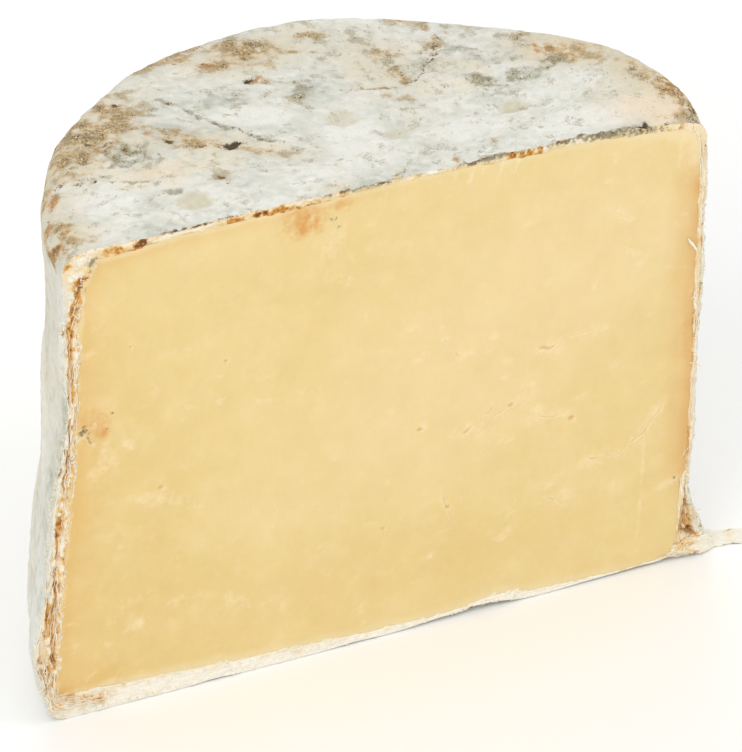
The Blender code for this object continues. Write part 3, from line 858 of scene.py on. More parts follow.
def paint_crust(mesh, points, around, run):
    """Stores the ground colour, four stains, the weave's strength and the cloth's own coordinates."""
    x, y, z = points.T
    top = share_on_top(run)
    side = 1 - top
    medium = cloud(points, 0.009, 21, 4)
    small = cloud(points, 0.0038, 22, 3)
    broken = 0.8 * medium + 0.5 * small
    broad = cloud(points, SIDE_STAIN_SIZE, 23, 4)
    rim = ease(run, RIM_BAND[0] - 0.01, RIM_BAND[0]) * ease(run, RIM_BAND[1] + 0.02, RIM_BAND[1] - 0.01)
    foot = ease(run, *FOOT_BAND)
    unseen_back = ease(y, 0.1, 0.15)
    back = ease(y, 0.06, 0.13)

    tan = most(
        side * 0.6 * back * ease(broad + 0.35 * medium + 0.25 * foot, 0.22, 0.75),
        rim * unseen_back * 0.8 * ease(broad + 0.5 * medium, 0.0, 0.6),
        side * (1 - back) * 0.3 * ease(broad + 0.5 * medium + 0.5 * foot, 0.5, 1.1),
        *laid(TAN_PATCHES, x, y, broken, top, blot),
        0.3 * ease(small + 0.4 * broad, 0.3, 0.85),
    )
    rust = 0.8 * tan * ease(medium + 0.3 * small, 0.4, 0.85) * (0.35 + 0.65 * np.maximum(rim, side))
    rust = most(rust, *laid(RUST_PATCHES, x, y, broken, top, blot))
    thin = cloud(points * (0.7, 0.7, 0.45), 0.03, 24, 4)
    moss = most(
        side * 0.38 * ease(thin + 0.3 * small, 0.15, 0.85),
        *laid(MOSS_PATCHES, x, y, broken, top, blot),
        0.3 * top * ease(small - 0.4 * broad, 0.25, 0.8),
    )
    dark = most(
        0.42 * ease(small + 0.5 * medium, 0.35, 1.0) * (0.22 + np.maximum(tan, moss)),
        *laid(DARK_SPOTS[:BOLD_SPOTS], x, y, 0.7 * small, top, blot),
        *laid(DARK_SPOTS[BOLD_SPOTS:], x, y, 1.2 * small, 0.78 * top, blot),
    )
    # Each crease is painted as a line: its tan is a stain, and its moss and dark are partly the fold's own
    # mould and partly a painted shade in the fold.
    for line, half_width, _, tan_amount, moss_amount, dark_amount in CREASES:
        away, _, share = line_distance(x + 0.0022 * medium, y + 0.0014 * small, line)
        width = half_width * (0.6 + 0.5 * ease(medium + 0.5 * small, -0.6, 0.6))
        crease = top * hump(away, width) * (0.6 + 0.4 * ease(small + 0.5 * medium, -0.6, 0.25))
        crease *= ease(share, 0.0, 0.14) * (0.25 + 0.75 * ease(share, 1.0, 0.72))
        tan = most(tan, tan_amount * crease)
        moss = most(moss, moss_amount * crease)
        dark = most(dark, dark_amount * crease * ease(small, -0.3, 0.3))
    for low, high, dark_amount, moss_amount in EDGE_STIPPLE:
        near = top * hump(y, 0.0018) * ease(x, low - 0.004, low) * ease(x, high + 0.004, high)
        dark = most(dark, 0.75 * dark_amount * near * ease(small + 0.4 * medium, -0.1, 0.5))
        moss = most(moss, moss_amount * near * ease(medium + 0.6 * small, -0.4, 0.3))

    pepper = 0.3 + 0.45 * ease(medium + 0.4 * small, 0.0, 0.7) + 0.55 * np.maximum(tan, moss)
    pepper *= 1 - 0.5 * side
    weave = side * (0.35 + 0.65 * ease(cloud(points, 0.05, 25), -0.3, 0.3))
    weave = most(weave, *laid(CLOTH_PATCHES, x, y, broken, top))
    reach = np.minimum(run, SIDE_START)
    cloth_u = np.where(run < SIDE_START, reach * np.cos(around), TOP_RADIUS * around)
    cloth_v = np.where(run < SIDE_START, reach * np.sin(around), run)
    cloth = np.stack([cloth_u, cloth_v, 0 * run], axis=1)
    store(mesh, ground=ground_colour(points, run), tan=tan, rust=rust, moss=moss, dark=dark, weave=weave,
          pepper=np.clip(pepper, 0, 1), cloth=cloth)
    return dark, tan, moss


top_dark, top_tan, top_moss = paint_crust(top_mesh, top_points, top_around, top_run)
paint_crust(side_mesh, side_points, side_around, side_run)
print("stained share of the top:", round(float((top_tan > 0.3).mean()), 3))

# %% [markdown]
# The rind: material
#
# The material starts from the painted ground and lays the four stains over it. Each stain meets a fine
# noise: where the noise is higher than the stain is strong, the ground still shows through. That turns
# soft numbers into grains and specks. The bump adds the powder of the mould everywhere, and the weave of
# the muslin where cloth is bare. A mould skin scatters light like felt, so the roughness is high and
# there is hardly any gloss.

# %% Rind material
TAN, TAN_DEEP = linear(212, 178, 118), linear(176, 136, 80)
RUST, RUST_DEEP = linear(208, 152, 78), linear(160, 106, 52)
MOSS, MOSS_DEEP, MOSS_DARK = linear(178, 179, 158), linear(132, 131, 106), linear(104, 98, 74)
DARK, PEPPER, BROWN = linear(66, 54, 40), linear(158, 148, 120), linear(116, 84, 46)
CRUMB, WARM_BLOOM = linear(236, 226, 204), linear(226, 216, 192)
GRIT_SCALE, SPECK_SCALE, GRAIN_SCALE = 820.0, 1150.0, 780.0
NOISE_MIDDLE = (0.3, 0.7)
WEAVE_PITCH = 0.0011
WEAVE_SCALE = 2 * math.pi / WEAVE_PITCH / 20


def attribute_of(tree, name):
    return add_node(tree, "ShaderNodeAttribute", attribute_name=name, attribute_type="GEOMETRY")


def math_node(tree, operation, *values):
    """The result of one sum, product or other step on numbers."""
    return add_node(tree, "ShaderNodeMath", dict(enumerate(values)), operation=operation).outputs[0]


def blend(tree, first, share, second, other):
    """Two numbers added up, each times its share."""
    return math_node(tree, "MULTIPLY_ADD", first, share, math_node(tree, "MULTIPLY", second, other))


def mixed(tree, amount, under, over, mode="MIX"):
    """One colour laid over another by an amount."""
    node = add_node(tree, "ShaderNodeMix", data_type="RGBA", blend_type=mode)
    for key, value in (("Factor", amount), (6, under), (7, over)):
        socket = node.inputs[key]
        if isinstance(value, bpy.types.NodeSocket):
            tree.links.new(value, socket)
        else:
            socket.default_value = value if key == "Factor" else (*value, 1)
    return node.outputs[2]


def stained(tree, under, name, colour, grain, level, sharpness, cover=0.9):
    """A stain laid over a colour. It shows where its strength and a noise together pass a level."""
    strength = attribute_of(tree, name).outputs["Fac"]
    over = math_node(tree, "SUBTRACT", math_node(tree, "ADD", strength, grain), level)
    sharp = math_node(tree, "MULTIPLY", over, sharpness)
    amount = add_node(tree, "ShaderNodeClamp", {"Value": sharp}).outputs[0]
    present = math_node(tree, "MINIMUM", math_node(tree, "MULTIPLY", strength, 5.0), cover)
    return mixed(tree, math_node(tree, "MULTIPLY", amount, present), under, colour)


def noise_of(tree, coordinate, scale, detail, roughness=0.55):
    """A noise whose middle range is stretched to run from 0 to 1."""
    inputs = {"Vector": coordinate, "Scale": scale, "Detail": detail, "Roughness": roughness}
    made = add_node(tree, "ShaderNodeTexNoise", inputs).outputs["Fac"]
    low, high = NOISE_MIDDLE
    return add_node(tree, "ShaderNodeMapRange", {"Value": made, "From Min": low, "From Max": high}).outputs[0]


def surface(tree, shader, colour, tone, tones, height, strength, distance):
    """Wires a colour that a tone shades from its least to its most, and the bump that a height makes."""
    shade = add_node(tree, "ShaderNodeMapRange", {"Value": tone, "To Min": tones[0], "To Max": tones[1]})
    tree.links.new(mixed(tree, 1.0, colour, shade.outputs[0], "MULTIPLY"), shader.inputs["Base Color"])
    bump = add_node(tree, "ShaderNodeBump", {"Height": height, "Strength": strength, "Distance": distance})
    tree.links.new(bump.outputs["Normal"], shader.inputs["Normal"])


def object_place(tree):
    return add_node(tree, "ShaderNodeTexCoord").outputs["Object"]


rind_material, tree, shader = new_material("mouldy_rind", 0.92, 0.12)
place = object_place(tree)
moved = add_node(tree, "ShaderNodeVectorMath", {0: place, 1: (3.1, 1.7, 5.3)}, operation="ADD").outputs[0]
grain = noise_of(tree, place, GRAIN_SCALE, 4.0, 0.62)
blotch = noise_of(tree, place, GRAIN_SCALE * 0.28, 5.0, 0.6)
grit = noise_of(tree, moved, GRIT_SCALE, 5.0, 0.8)
specks = noise_of(tree, moved, SPECK_SCALE, 2.0, 0.5)
spatter = noise_of(tree, place, SPECK_SCALE * 0.5, 3.0, 0.6)
bloom = noise_of(tree, place, 210.0, 8.0, 0.72)
warmth = noise_of(tree, place, 130.0, 7.0, 0.7)
rough = blend(tree, grit, 0.55, blotch, 0.45)
scattered = blend(tree, specks, 0.6, spatter, 0.4)
unspattered = math_node(tree, "SUBTRACT", 1.0, spatter)

colour = attribute_of(tree, "ground").outputs["Color"]
colour = mixed(tree, math_node(tree, "MULTIPLY", warmth, 0.3), colour, WARM_BLOOM)
bloom = math_node(tree, "MULTIPLY", math_node(tree, "POWER", bloom, 2.0), 0.42)
colour = mixed(tree, bloom, colour, WHITE_MOULD_AND_HIGHLIGHT)
for stain in (
    # layer, colour, noise, level, sharpness, cover
    ("moss", mixed(tree, grain, MOSS, MOSS_DEEP), rough, 0.74, 1.6, 0.72),
    ("tan", mixed(tree, blotch, TAN, TAN_DEEP), rough, 0.72, 1.6, 0.88),
    ("rust", mixed(tree, grain, RUST, RUST_DEEP), rough, 0.78, 1.9, 0.88),
    ("tan", BROWN, scattered, 1.42, 4.0, 0.8),
    ("moss", MOSS_DARK, scattered, 1.4, 4.0, 0.8),
    ("tan", CRUMB, unspattered, 1.48, 4.0, 0.6),
    ("moss", CRUMB, unspattered, 1.52, 5.0, 0.6),
    ("pepper", PEPPER, scattered, 1.1, 3.5, 0.5),
    ("dark", DARK, rough, 0.95, 3.6, 0.94),
):
    colour = stained(tree, colour, *stain)

cloth_place = attribute_of(tree, "cloth").outputs["Vector"]
weaving = {"Vector": cloth_place, "Scale": WEAVE_SCALE, "Distortion": 1.2, "Detail Scale": 4.0}
warp, weft = (
    add_node(tree, "ShaderNodeTexWave", weaving, bands_direction=way).outputs["Fac"] for way in "XY"
)
threads = math_node(tree, "MAXIMUM", warp, weft)
woven = math_node(tree, "MULTIPLY", threads, attribute_of(tree, "weave").outputs["Fac"])
height = math_node(tree, "MULTIPLY_ADD", woven, 0.28, blend(tree, grain, 0.25, blotch, 0.45))
surface(tree, shader, colour, rough, (0.87, 1.04), height, 0.6, 0.0009)
print("rind material:", len(tree.nodes), "nodes")

# %% Close the crusts and show them
CRUST_RECESS = 0.022
CRUST_INSET = 0.007
TOP_HUB = (0.0, 0.05, 0.11)
SIDE_HUB = (0.0, 0.06, 0.11)

close_behind(top_mesh, CRUST_RECESS, CRUST_INSET, TOP_HUB)
close_behind(side_mesh, CRUST_RECESS, CRUST_INSET, SIDE_HUB)
rind_top = finish_piece("rind_top", top_mesh, rind_material)
rind_side = finish_piece("rind_side", side_mesh, rind_material)

# %% [markdown]
# Outline of the cut
#
# The cut runs through the axis, so its outline is the crust's own border. The line where the paste ends
# and the rind begins lies inside it. It isn't an even distance in: the rind is 12 mm thick down the left,
# 5 mm along the top, 4 mm down the right, and along the base it thins from left to right. So that line is
# given at a few heights and distances, as measured off the photograph, and joined up.

# %% Outer line of the cut
SECTION_STEP = 0.00042

side_rows = np.flatnonzero(side_runs > TOP_END + 0.0002)
right_index = side_rows * (SIDE_STEPS + 1)
right_line = np.concatenate([top_points[top_starts[:-1]], side_points[right_index]])
left_line = np.concatenate([top_points[top_starts[1:] - 1], side_points[right_index + SIDE_STEPS]])
border_runs = np.concatenate([top_runs, side_runs[side_rows]])
border = np.concatenate([left_line[::-1], right_line])[:, [0, 2]]
border_key = np.concatenate([-border_runs[::-1], border_runs])

steps = np.linalg.norm(np.diff(border, axis=0), axis=1)
passed = np.concatenate([[0], np.cumsum(steps)])
along = np.linspace(0, passed[-1], round(passed[-1] / SECTION_STEP) + 1)[:-1]
outer_line = np.stack([np.interp(along, passed, border[:, k]) for k in range(2)], axis=1)
outer_key = np.interp(along, passed, border_key)
print("outline of the cut:", round(passed[-1], 3), "m,", len(along), "points")

# %% Line between rind and paste
LEFT_EDGE = (
    # height, x of the paste's edge
    (0.24, -0.1585), (0.23, -0.16), (0.22, -0.161), (0.2, -0.1622), (0.18, -0.1636), (0.16, -0.1648),
    (0.15, -0.1652), (0.14, -0.1662), (0.12, -0.1694), (0.1, -0.1714), (0.08, -0.1734), (0.06, -0.175),
    (0.04, -0.177), (0.03, -0.178), (0.02, -0.1796),
)
RIGHT_EDGE = (
    (0.2475, 0.164), (0.24, 0.1664), (0.225, 0.1672), (0.2, 0.1668), (0.175, 0.1662), (0.15, 0.1654),
    (0.135, 0.1657), (0.12, 0.1661), (0.105, 0.1656), (0.09, 0.1655), (0.061, 0.1654), (0.053, 0.1646),
    (0.049, 0.1622), (0.04, 0.1612), (0.025, 0.1606), (0.014, 0.1602),
)
LEAST_RIND = 0.0011
TOP_BAND = (
    # x, thickness
    (-0.152, 0.0068), (-0.13, 0.0056), (-0.11, 0.004), (-0.09, 0.0044), (-0.075, 0.004), (-0.05, 0.005),
    (-0.03, 0.0034), (0.01, 0.0028), (0.04, 0.0034), (0.075, 0.0048), (0.1, 0.0046), (0.125, 0.005),
    (0.14, 0.0042), (0.156, 0.0046),
)
BASE_EDGE = (
    # x, height of the paste's edge
    (-0.16, 0.0135), (-0.15, 0.0132), (-0.13, 0.012), (-0.11, 0.0108), (-0.09, 0.0094), (-0.07, 0.008),
    (-0.05, 0.007), (-0.03, 0.006), (-0.01, 0.005), (0.01, 0.0046), (0.03, 0.0042), (0.045, 0.006),
    (0.056, 0.0078), (0.068, 0.0072), (0.08, 0.0048), (0.1, 0.004), (0.12, 0.003), (0.132, 0.0026),
    (0.148, 0.0028),
)
FOOT_CORNERS = ((-0.1792, 0.015), (0.1592, 0.006))
MIDDLE_BASE = 0.0048
EDGE_WANDER = ((0.016, 0.0006), (0.005, 0.0005), (0.0018, 0.0003))


def side_key(height):
    return SIDE_START + HEIGHT - RIM_ROUND - height


def base_key(x):
    return BASE_START + TOP_RADIUS - FOOT_ROUND - min(abs(x), TOP_RADIUS - FOOT_ROUND)


over_flat = outer_line[np.abs(outer_key) < FLAT_RUN]
inner_rows = [
    *((-side_key(height), x, height) for height, x in LEFT_EDGE),
    *((side_key(height), x, height) for height, x in RIGHT_EDGE),
    *((x, x, np.interp(x, *over_flat.T) - thickness) for x, thickness in TOP_BAND),
    *((math.copysign(base_key(x), x), x, height) for x, height in BASE_EDGE),
    *((math.copysign(BASE_START - FOOT_RUN / 2, x), x, height) for x, height in FOOT_CORNERS),
    (-WHOLE_RUN, 0.0, MIDDLE_BASE),
    (WHOLE_RUN, 0.0, MIDDLE_BASE),
]
inner_rows = np.array(sorted(inner_rows))
inner_line = np.stack([np.interp(outer_key, inner_rows[:, 0], inner_rows[:, k]) for k in (1, 2)], axis=1)
flat_line = np.column_stack([inner_line, np.zeros(len(inner_line))])
inward = inner_line - outer_line
inward /= np.linalg.norm(inward, axis=1)[:, None]
wander = sum(amount * cloud(flat_line, size, 31 + k, 2) for k, (size, amount) in enumerate(EDGE_WANDER))
inner_line = inner_line + inward * wander[:, None]
reach = np.maximum(np.linalg.norm(inner_line - outer_line, axis=1), LEAST_RIND)
away = inner_line - outer_line
inner_line = outer_line + away / np.linalg.norm(away, axis=1)[:, None] * reach[:, None]
print("rind thickness from", round(reach.min() * 1000, 1), "mm to", round(reach.max() * 1000, 1), "mm")

# %% [markdown]
# The paste: form
#
# The paste is dense and slightly waxy, cut by a wire that left it almost flat. A bare plane would look
# like plastic, so the face has the real one's slight waves, open cracks with pale lips, small round holes
# and faint drag marks. It is a square grid, because the cut has no direction of its own, and only the
# cells round a crack or a hole are divided again. The edge of the face runs in behind the rind, and the
# rind's inner edge runs in behind the face, so the two meet in a thin natural groove.

# %% Cracks and holes in the paste
PASTE_CRACKS = (
    # points (x, z), half width, depth
    (((0.08, 0.1458), (0.086, 0.1442), (0.0945, 0.1478), (0.1125, 0.1496)), 0.0004, 0.0007),
    (((0.08, 0.1458), (0.0832, 0.1458), (0.0862, 0.1444)), 0.00105, 0.0013),
    (((0.107, 0.0748), (0.116, 0.0726), (0.124, 0.072), (0.131, 0.0756)), 0.00042, 0.0005),
    (((0.124, 0.073), (0.133, 0.078), (0.1392, 0.0812), (0.144, 0.087), (0.15, 0.095)), 0.00045, 0.0005),
    (((0.0395, 0.107), (0.044, 0.1105)), 0.0007, 0.001),
    (((0.044, 0.1105), (0.053, 0.112), (0.061, 0.115), (0.068, 0.118)), 0.0004, 0.0005),
    (((0.052, 0.115), (0.056, 0.119)), 0.0004, 0.0008),
    (((0.028, 0.165), (0.032, 0.159), (0.0375, 0.1515)), 0.00042, 0.0004),
    (((0.085, 0.0585), (0.09, 0.055), (0.094, 0.0512)), 0.00042, 0.0004),
    (((-0.086, 0.0468), (-0.082, 0.042), (-0.077, 0.0385)), 0.00042, 0.0005),
    (((0.08, 0.107), (0.088, 0.104), (0.0955, 0.1045)), 0.0004, 0.0003),
    (((0.118, 0.215), (0.124, 0.21), (0.13, 0.207)), 0.0005, 0.0005),
    (((0.028, 0.075), (0.03, 0.068), (0.0335, 0.0585)), 0.00042, 0.0004),
    (((-0.166, 0.159), (-0.161, 0.161), (-0.157, 0.164)), 0.0011, 0.0034),
    (((-0.161, 0.162), (-0.1585, 0.157), (-0.156, 0.1545)), 0.0008, 0.0024),
)
PASTE_HOLES = (
    # x, z, radius, depth
    (0.016, 0.116, 0.0013, 0.0014), (0.0655, 0.1172, 0.0014, 0.0016), (0.099, 0.101, 0.0016, 0.0016),
    (0.031, 0.067, 0.0012, 0.0012), (-0.122, 0.1195, 0.0012, 0.0016), (-0.136, 0.202, 0.0007, 0.0008),
    (-0.087, 0.182, 0.0009, 0.0008), (-0.004, 0.064, 0.0009, 0.0008), (-0.146, 0.168, 0.0008, 0.0008),
    (-0.149, 0.16, 0.0006, 0.0007), (0.158, 0.05, 0.0008, 0.0012),
)
PASTE_CELL = 0.0011
PASTE_OVERLAP = 0.0016
DIVIDED_WITHIN = 0.0022
GRID_ACROSS = (-0.19, 0.176)
GRID_UP = (-0.002, 0.262)

# %% Distance from any point of the cut face to the paste's edge
edge_tree = kdtree.KDTree(len(inner_line))
for number, (x, z) in enumerate(inner_line.tolist()):
    edge_tree.insert((x, 0, z), number)
edge_tree.balance()


def depth_inside(x, z):
    """How far points lie inside the paste's edge: negative in the rind."""
    away = np.array([edge_tree.find((px, 0, pz))[2] for px, pz in zip(x.tolist(), z.tolist())])
    inside = np.zeros(len(x), bool)
    ends = np.roll(inner_line, -1, axis=0)
    order = np.argsort(z)
    for (ax, az), (bx, bz) in zip(inner_line.tolist(), ends.tolist()):
        low, high = (az, bz) if az < bz else (bz, az)
        first, last = np.searchsorted(z[order], (low, high))
        crossed = order[first:last]
        if len(crossed):
            inside[crossed] ^= x[crossed] < ax + (z[crossed] - az) * (bx - ax) / (bz - az)
    return np.where(inside, away, -away)


# %% Grid of the paste
columns = np.arange(*GRID_ACROSS, PASTE_CELL)
levels = np.arange(*GRID_UP, PASTE_CELL)
grid_x, grid_z = (flat.ravel() for flat in np.meshgrid(columns, levels))
covered = depth_inside(grid_x, grid_z) > -PASTE_OVERLAP
quads = np.array(grid_faces(len(levels), len(columns)))
quads = quads[covered[quads].all(axis=1)]

paste_shape = bmesh.new()
made = {}
for corner in np.unique(quads).tolist():
    made[corner] = paste_shape.verts.new((grid_x[corner], 0.0, grid_z[corner]))
for quad in quads.tolist():
    paste_shape.faces.new([made[corner] for corner in quad])


def crack_distance(x, z):
    """Distance to the nearest crack or hole, for choosing what to divide."""
    nearest = np.full(len(x), np.inf)
    for line, _, _ in PASTE_CRACKS:
        nearest = np.minimum(nearest, line_distance(x, z, line)[0])
    for at_x, at_z, radius, _ in PASTE_HOLES:
        nearest = np.minimum(nearest, np.hypot(x - at_x, z - at_z) - radius)
    return nearest


middles = np.array([face.calc_center_median()[:] for face in paste_shape.faces])
divided = crack_distance(middles[:, 0], middles[:, 2]) < DIVIDED_WITHIN
chosen = {edge for face, wanted in zip(list(paste_shape.faces), divided) if wanted for edge in face.edges}
bmesh.ops.subdivide_edges(paste_shape, edges=list(chosen), cuts=3, use_grid_fill=True)
paste_mesh = bpy.data.meshes.new("paste")
paste_shape.to_mesh(paste_mesh)
paste_shape.free()
print("paste:", len(paste_mesh.vertices), "points, divided cells:", int(divided.sum()))

# %% Relief and colour of the paste
PASTE_BASE = linear(233, 208, 146)
PASTE_CREAMY = linear(239, 216, 163)
PASTE_GOLDEN = linear(224, 194, 125)
PASTE_EDGE = linear(216, 158, 84)
LARD_GOLD = linear(222, 178, 100)
FRAY_CREAM = linear(240, 222, 180)
CREAMY_PLACES = (
    # x, z, reach along, reach up, amount, turn
    (0.11, 0.19, 0.07, 0.06, 0.7), (0.04, 0.15, 0.07, 0.05, 0.6), (0.02, 0.11, 0.06, 0.04, 0.4),
    (-0.06, 0.09, 0.04, 0.02, 0.3),
)
GOLDEN_PLACES = (
    (-0.14, 0.11, 0.04, 0.12, 0.65), (-0.13, 0.04, 0.06, 0.04, 0.5), (0.0, 0.04, 0.11, 0.03, 0.35),
    (0.15, 0.08, 0.02, 0.09, 0.3), (-0.045, 0.215, 0.06, 0.02, 0.25),
)
ORANGE_MARKS = (
    # x, z, reach along, reach up, amount, turn
    (-0.045, 0.249, 0.01, 0.007, 0.95, 8), (-0.025, 0.252, 0.004, 0.003, 0.7),
    (-0.155, 0.165, 0.007, 0.006, 0.5, 20), (-0.1525, 0.158, 0.0036, 0.0034, 0.85),
    (-0.158, 0.161, 0.004, 0.002, 0.5), (-0.17, 0.015, 0.01, 0.003, 0.4, -20),
    (0.163, 0.13, 0.003, 0.01, 0.3),
)
PALE_MARKS = (
    (0.124, 0.211, 0.0075, 0.0022, 0.85, -35), (0.132, 0.1875, 0.0045, 0.0018, 0.8, -30),
    (0.09, 0.0545, 0.006, 0.002, 0.6, -40), (0.028, 0.171, 0.0018, 0.0014, 0.6),
    (0.031, 0.164, 0.002, 0.0016, 0.6), (-0.001, 0.131, 0.002, 0.0016, 0.55),
    (0.051, 0.093, 0.003, 0.0026, 0.45), (0.02, 0.04, 0.002, 0.0016, 0.55),
    (-0.035, 0.048, 0.0024, 0.0016, 0.5), (-0.155, 0.138, 0.0036, 0.0026, 0.7, 30),
    (-0.15, 0.148, 0.0022, 0.005, 0.7), (-0.145, 0.144, 0.002, 0.003, 0.5),
    (-0.122, 0.113, 0.01, 0.0026, 0.7, -12), (-0.105, 0.106, 0.005, 0.002, 0.5, -40),
    (0.122, 0.074, 0.015, 0.003, 0.6, 10), (0.141, 0.086, 0.011, 0.0026, 0.65, 50),
    (0.086, 0.105, 0.009, 0.0022, 0.6), (0.1, 0.147, 0.014, 0.0024, 0.55, 8),
    (0.055, 0.114, 0.015, 0.003, 0.6, 15), (0.138, 0.236, 0.0012, 0.007, 0.35),
    (0.157, 0.24, 0.002, 0.006, 0.5, 10), (-0.084, 0.044, 0.006, 0.0026, 0.6, -40),
    (-0.14, 0.056, 0.01, 0.003, 0.35, 25), (-0.112, 0.052, 0.008, 0.0022, 0.35),
    (-0.03, 0.233, 0.003, 0.006, 0.8, -25), (0.155, 0.048, 0.005, 0.0022, 0.7, 15),
    (0.04, 0.152, 0.003, 0.0014, 1.0, 20), (0.062, 0.134, 0.0016, 0.0014, 0.9),
    (0.043, 0.111, 0.0024, 0.0016, 1.0, 30), (0.081, 0.111, 0.0026, 0.002, 1.0),
    (0.018, 0.117, 0.0012, 0.0022, 1.0), (0.0865, 0.064, 0.0026, 0.0014, 0.95, 20),
    (0.096, 0.059, 0.0022, 0.0014, 1.0), (0.02, 0.04, 0.003, 0.0013, 1.0, 20),
    (0.122, 0.054, 0.003, 0.0014, 0.7, 60), (-0.038, 0.202, 0.0018, 0.0014, 0.6),
    (-0.083, 0.044, 0.003, 0.0016, 1.0, 20), (-0.137, 0.044, 0.005, 0.0014, 0.8, 20),
    (0.056, 0.159, 0.0022, 0.0016, 0.6), (0.015, 0.155, 0.0022, 0.0014, 0.6),
    (-0.106, 0.161, 0.0022, 0.0014, 0.8), (-0.09, 0.16, 0.002, 0.0014, 0.8),
)
GREY_DOTS = (
    (-0.1615, 0.16, 0.005, 0.0012, 1.0, 12), (-0.159, 0.161, 0.002, 0.0022, 1.0),
    (-0.03, 0.246, 0.0022, 0.0016, 0.8), (-0.0275, 0.2405, 0.0014, 0.0022, 0.55),
    (-0.136, 0.202, 0.001, 0.0009, 0.6), (-0.162, 0.161, 0.0044, 0.001, 0.95, 20),
    (-0.1585, 0.157, 0.001, 0.0032, 0.9, 25), (-0.1605, 0.164, 0.0013, 0.0012, 0.8),
    (-0.146, 0.168, 0.0009, 0.0008, 0.95), (-0.149, 0.16, 0.0008, 0.0006, 0.9),
    (0.158, 0.05, 0.0009, 0.0009, 0.9),
)
CORNER_PEACH = linear(246, 226, 186)
PASTE_SCRATCHES = (
    (0.5, (0.1402, 0.08), (0.1395, 0.06), (0.1388, 0.04), (0.1378, 0.02), (0.137, 0.006)),
    (1.1, (0.035, 0.256), (0.0334, 0.251)), (1.2, (0.044, 0.2565), (0.0405, 0.247)),
    (0.8, (0.05, 0.2565), (0.048, 0.251)), (1.2, (0.06, 0.257), (0.056, 0.245)),
    (1.1, (0.0685, 0.257), (0.065, 0.247)), (0.7, (0.156, 0.242), (0.1545, 0.228)),
    (0.6, (-0.027, 0.244), (-0.032, 0.236)), (0.6, (-0.024, 0.243), (-0.025, 0.237)),
)

paste_points = mesh_points(paste_mesh)
px, _, pz = paste_points.T
inside_by = depth_inside(px, pz)
wave = cloud(paste_points, 0.06, 41, 2)
lump = cloud(paste_points, 0.012, 42, 3)
fine = cloud(paste_points, 0.0035, 43, 3)
dragged = cloud(paste_points * (1.6, 1.0, 0.35), 0.01, 44, 3)
broken = 0.7 * cloud(paste_points, 0.005, 45, 4) + 0.4 * fine
sunk = 0.00022 * wave + 0.00013 * lump + 0.00005 * fine + 0.00005 * dragged

curds = cloud(paste_points * (0.75, 1.0, 1.2), 0.0085, 46, 5)
pale = 0.5 * ease(curds, 0.35, 0.95) * ease(cloud(paste_points, 0.05, 47, 2), -0.45, 0.35)
# The gold layer is a painted golden shade inside the cracks and the holes.
painted_recess_shade = np.zeros(len(px))
for line, half_width, depth in PASTE_CRACKS:
    away, side, share = line_distance(px, pz, line)
    taper = np.sqrt(np.clip(share * (1 - share) * 4, 0.05, 1))
    width = half_width * (0.75 + 0.5 * (fine + 0.5))
    torn = ease(broken, -0.25, 0.35)
    sunk += 0.5 * depth * taper * (0.15 + 0.85 * torn) * hump(away, width)
    below = ease(side, 0.0006, -0.0002)
    lips = hump(away - 1.8 * half_width, 1.2 * half_width) * (0.35 + 0.65 * below)
    sunk -= 0.00036 * lips * taper * (0.5 + 0.5 * torn)
    pale = most(
        pale,
        0.95 * lips * (0.75 + 0.8 * broken),
        0.55 * hump(away, 4.5 * half_width) * (0.5 + broken),
    )
    painted_recess_shade = np.maximum(painted_recess_shade, 0.6 * hump(away, 0.8 * half_width) * taper * torn)
for at_x, at_z, radius, depth in PASTE_HOLES:
    away = np.hypot((px - at_x) * 0.8, (pz - at_z) * 1.3) * (1 + 0.5 * broken)
    sunk += 0.3 * depth * ease(away, 1.3 * radius, 0.1 * radius)
    painted_recess_shade = np.maximum(painted_recess_shade, 0.6 * ease(away, 1.5 * radius, 0.2 * radius))
    lip = hump(np.hypot(px - at_x - radius, pz - at_z + 0.8 * radius), radius)
    sunk -= 0.0002 * lip
    pale = np.maximum(pale, 0.8 * lip * (1 + broken))
for amount, *line in PASTE_SCRATCHES:
    away, _, share = line_distance(px, pz, line)
    scratch = hump(away, 0.0007) * ease(share, 1.0, 0.7)
    pale = np.maximum(pale, amount * scratch * (0.85 + 0.5 * broken))
for at_x, at_z, reach_x, reach_z, amount, *turn in PALE_MARKS:
    wide = (1.2 * reach_x, 1.2 * reach_z)
    pale = np.maximum(pale, 0.8 * amount * blot(px, pz, broken, (at_x, at_z), wide, *turn))
sunk -= 0.00016 * pale * (1 + fine)

colour = np.tile(PASTE_BASE, (len(px), 1))
for tint, places in ((PASTE_CREAMY, CREAMY_PLACES), (PASTE_GOLDEN, GOLDEN_PLACES)):
    for at_x, at_z, reach_x, reach_z, amount in places:
        away = np.hypot((px - at_x) / reach_x, (pz - at_z) / reach_z)
        colour = tinted(colour, (tint, amount * ease(away + 0.2 * wave, 1.5, 0.2)))
colour = tinted(
    colour,
    (PASTE_CREAMY, 0.45 * ease(lump + 0.3 * fine, 0.1, 0.8)),
    (PASTE_GOLDEN, 0.22 * ease(wave + 0.5 * lump, 0.15, 0.9)),
)
right_strip = ease(px, 0.145, 0.158) * ease(pz, 0.03, 0.06) * ease(pz, 0.245, 0.215)
left_strip = ease(px, -0.13, -0.16) * (0.7 + 0.3 * ease(pz, 0.19, 0.13))
uneven = np.clip(0.75 + 0.7 * cloud(paste_points * (1.0, 1.0, 0.5), 0.01, 48, 3), 0.25, 1.3)
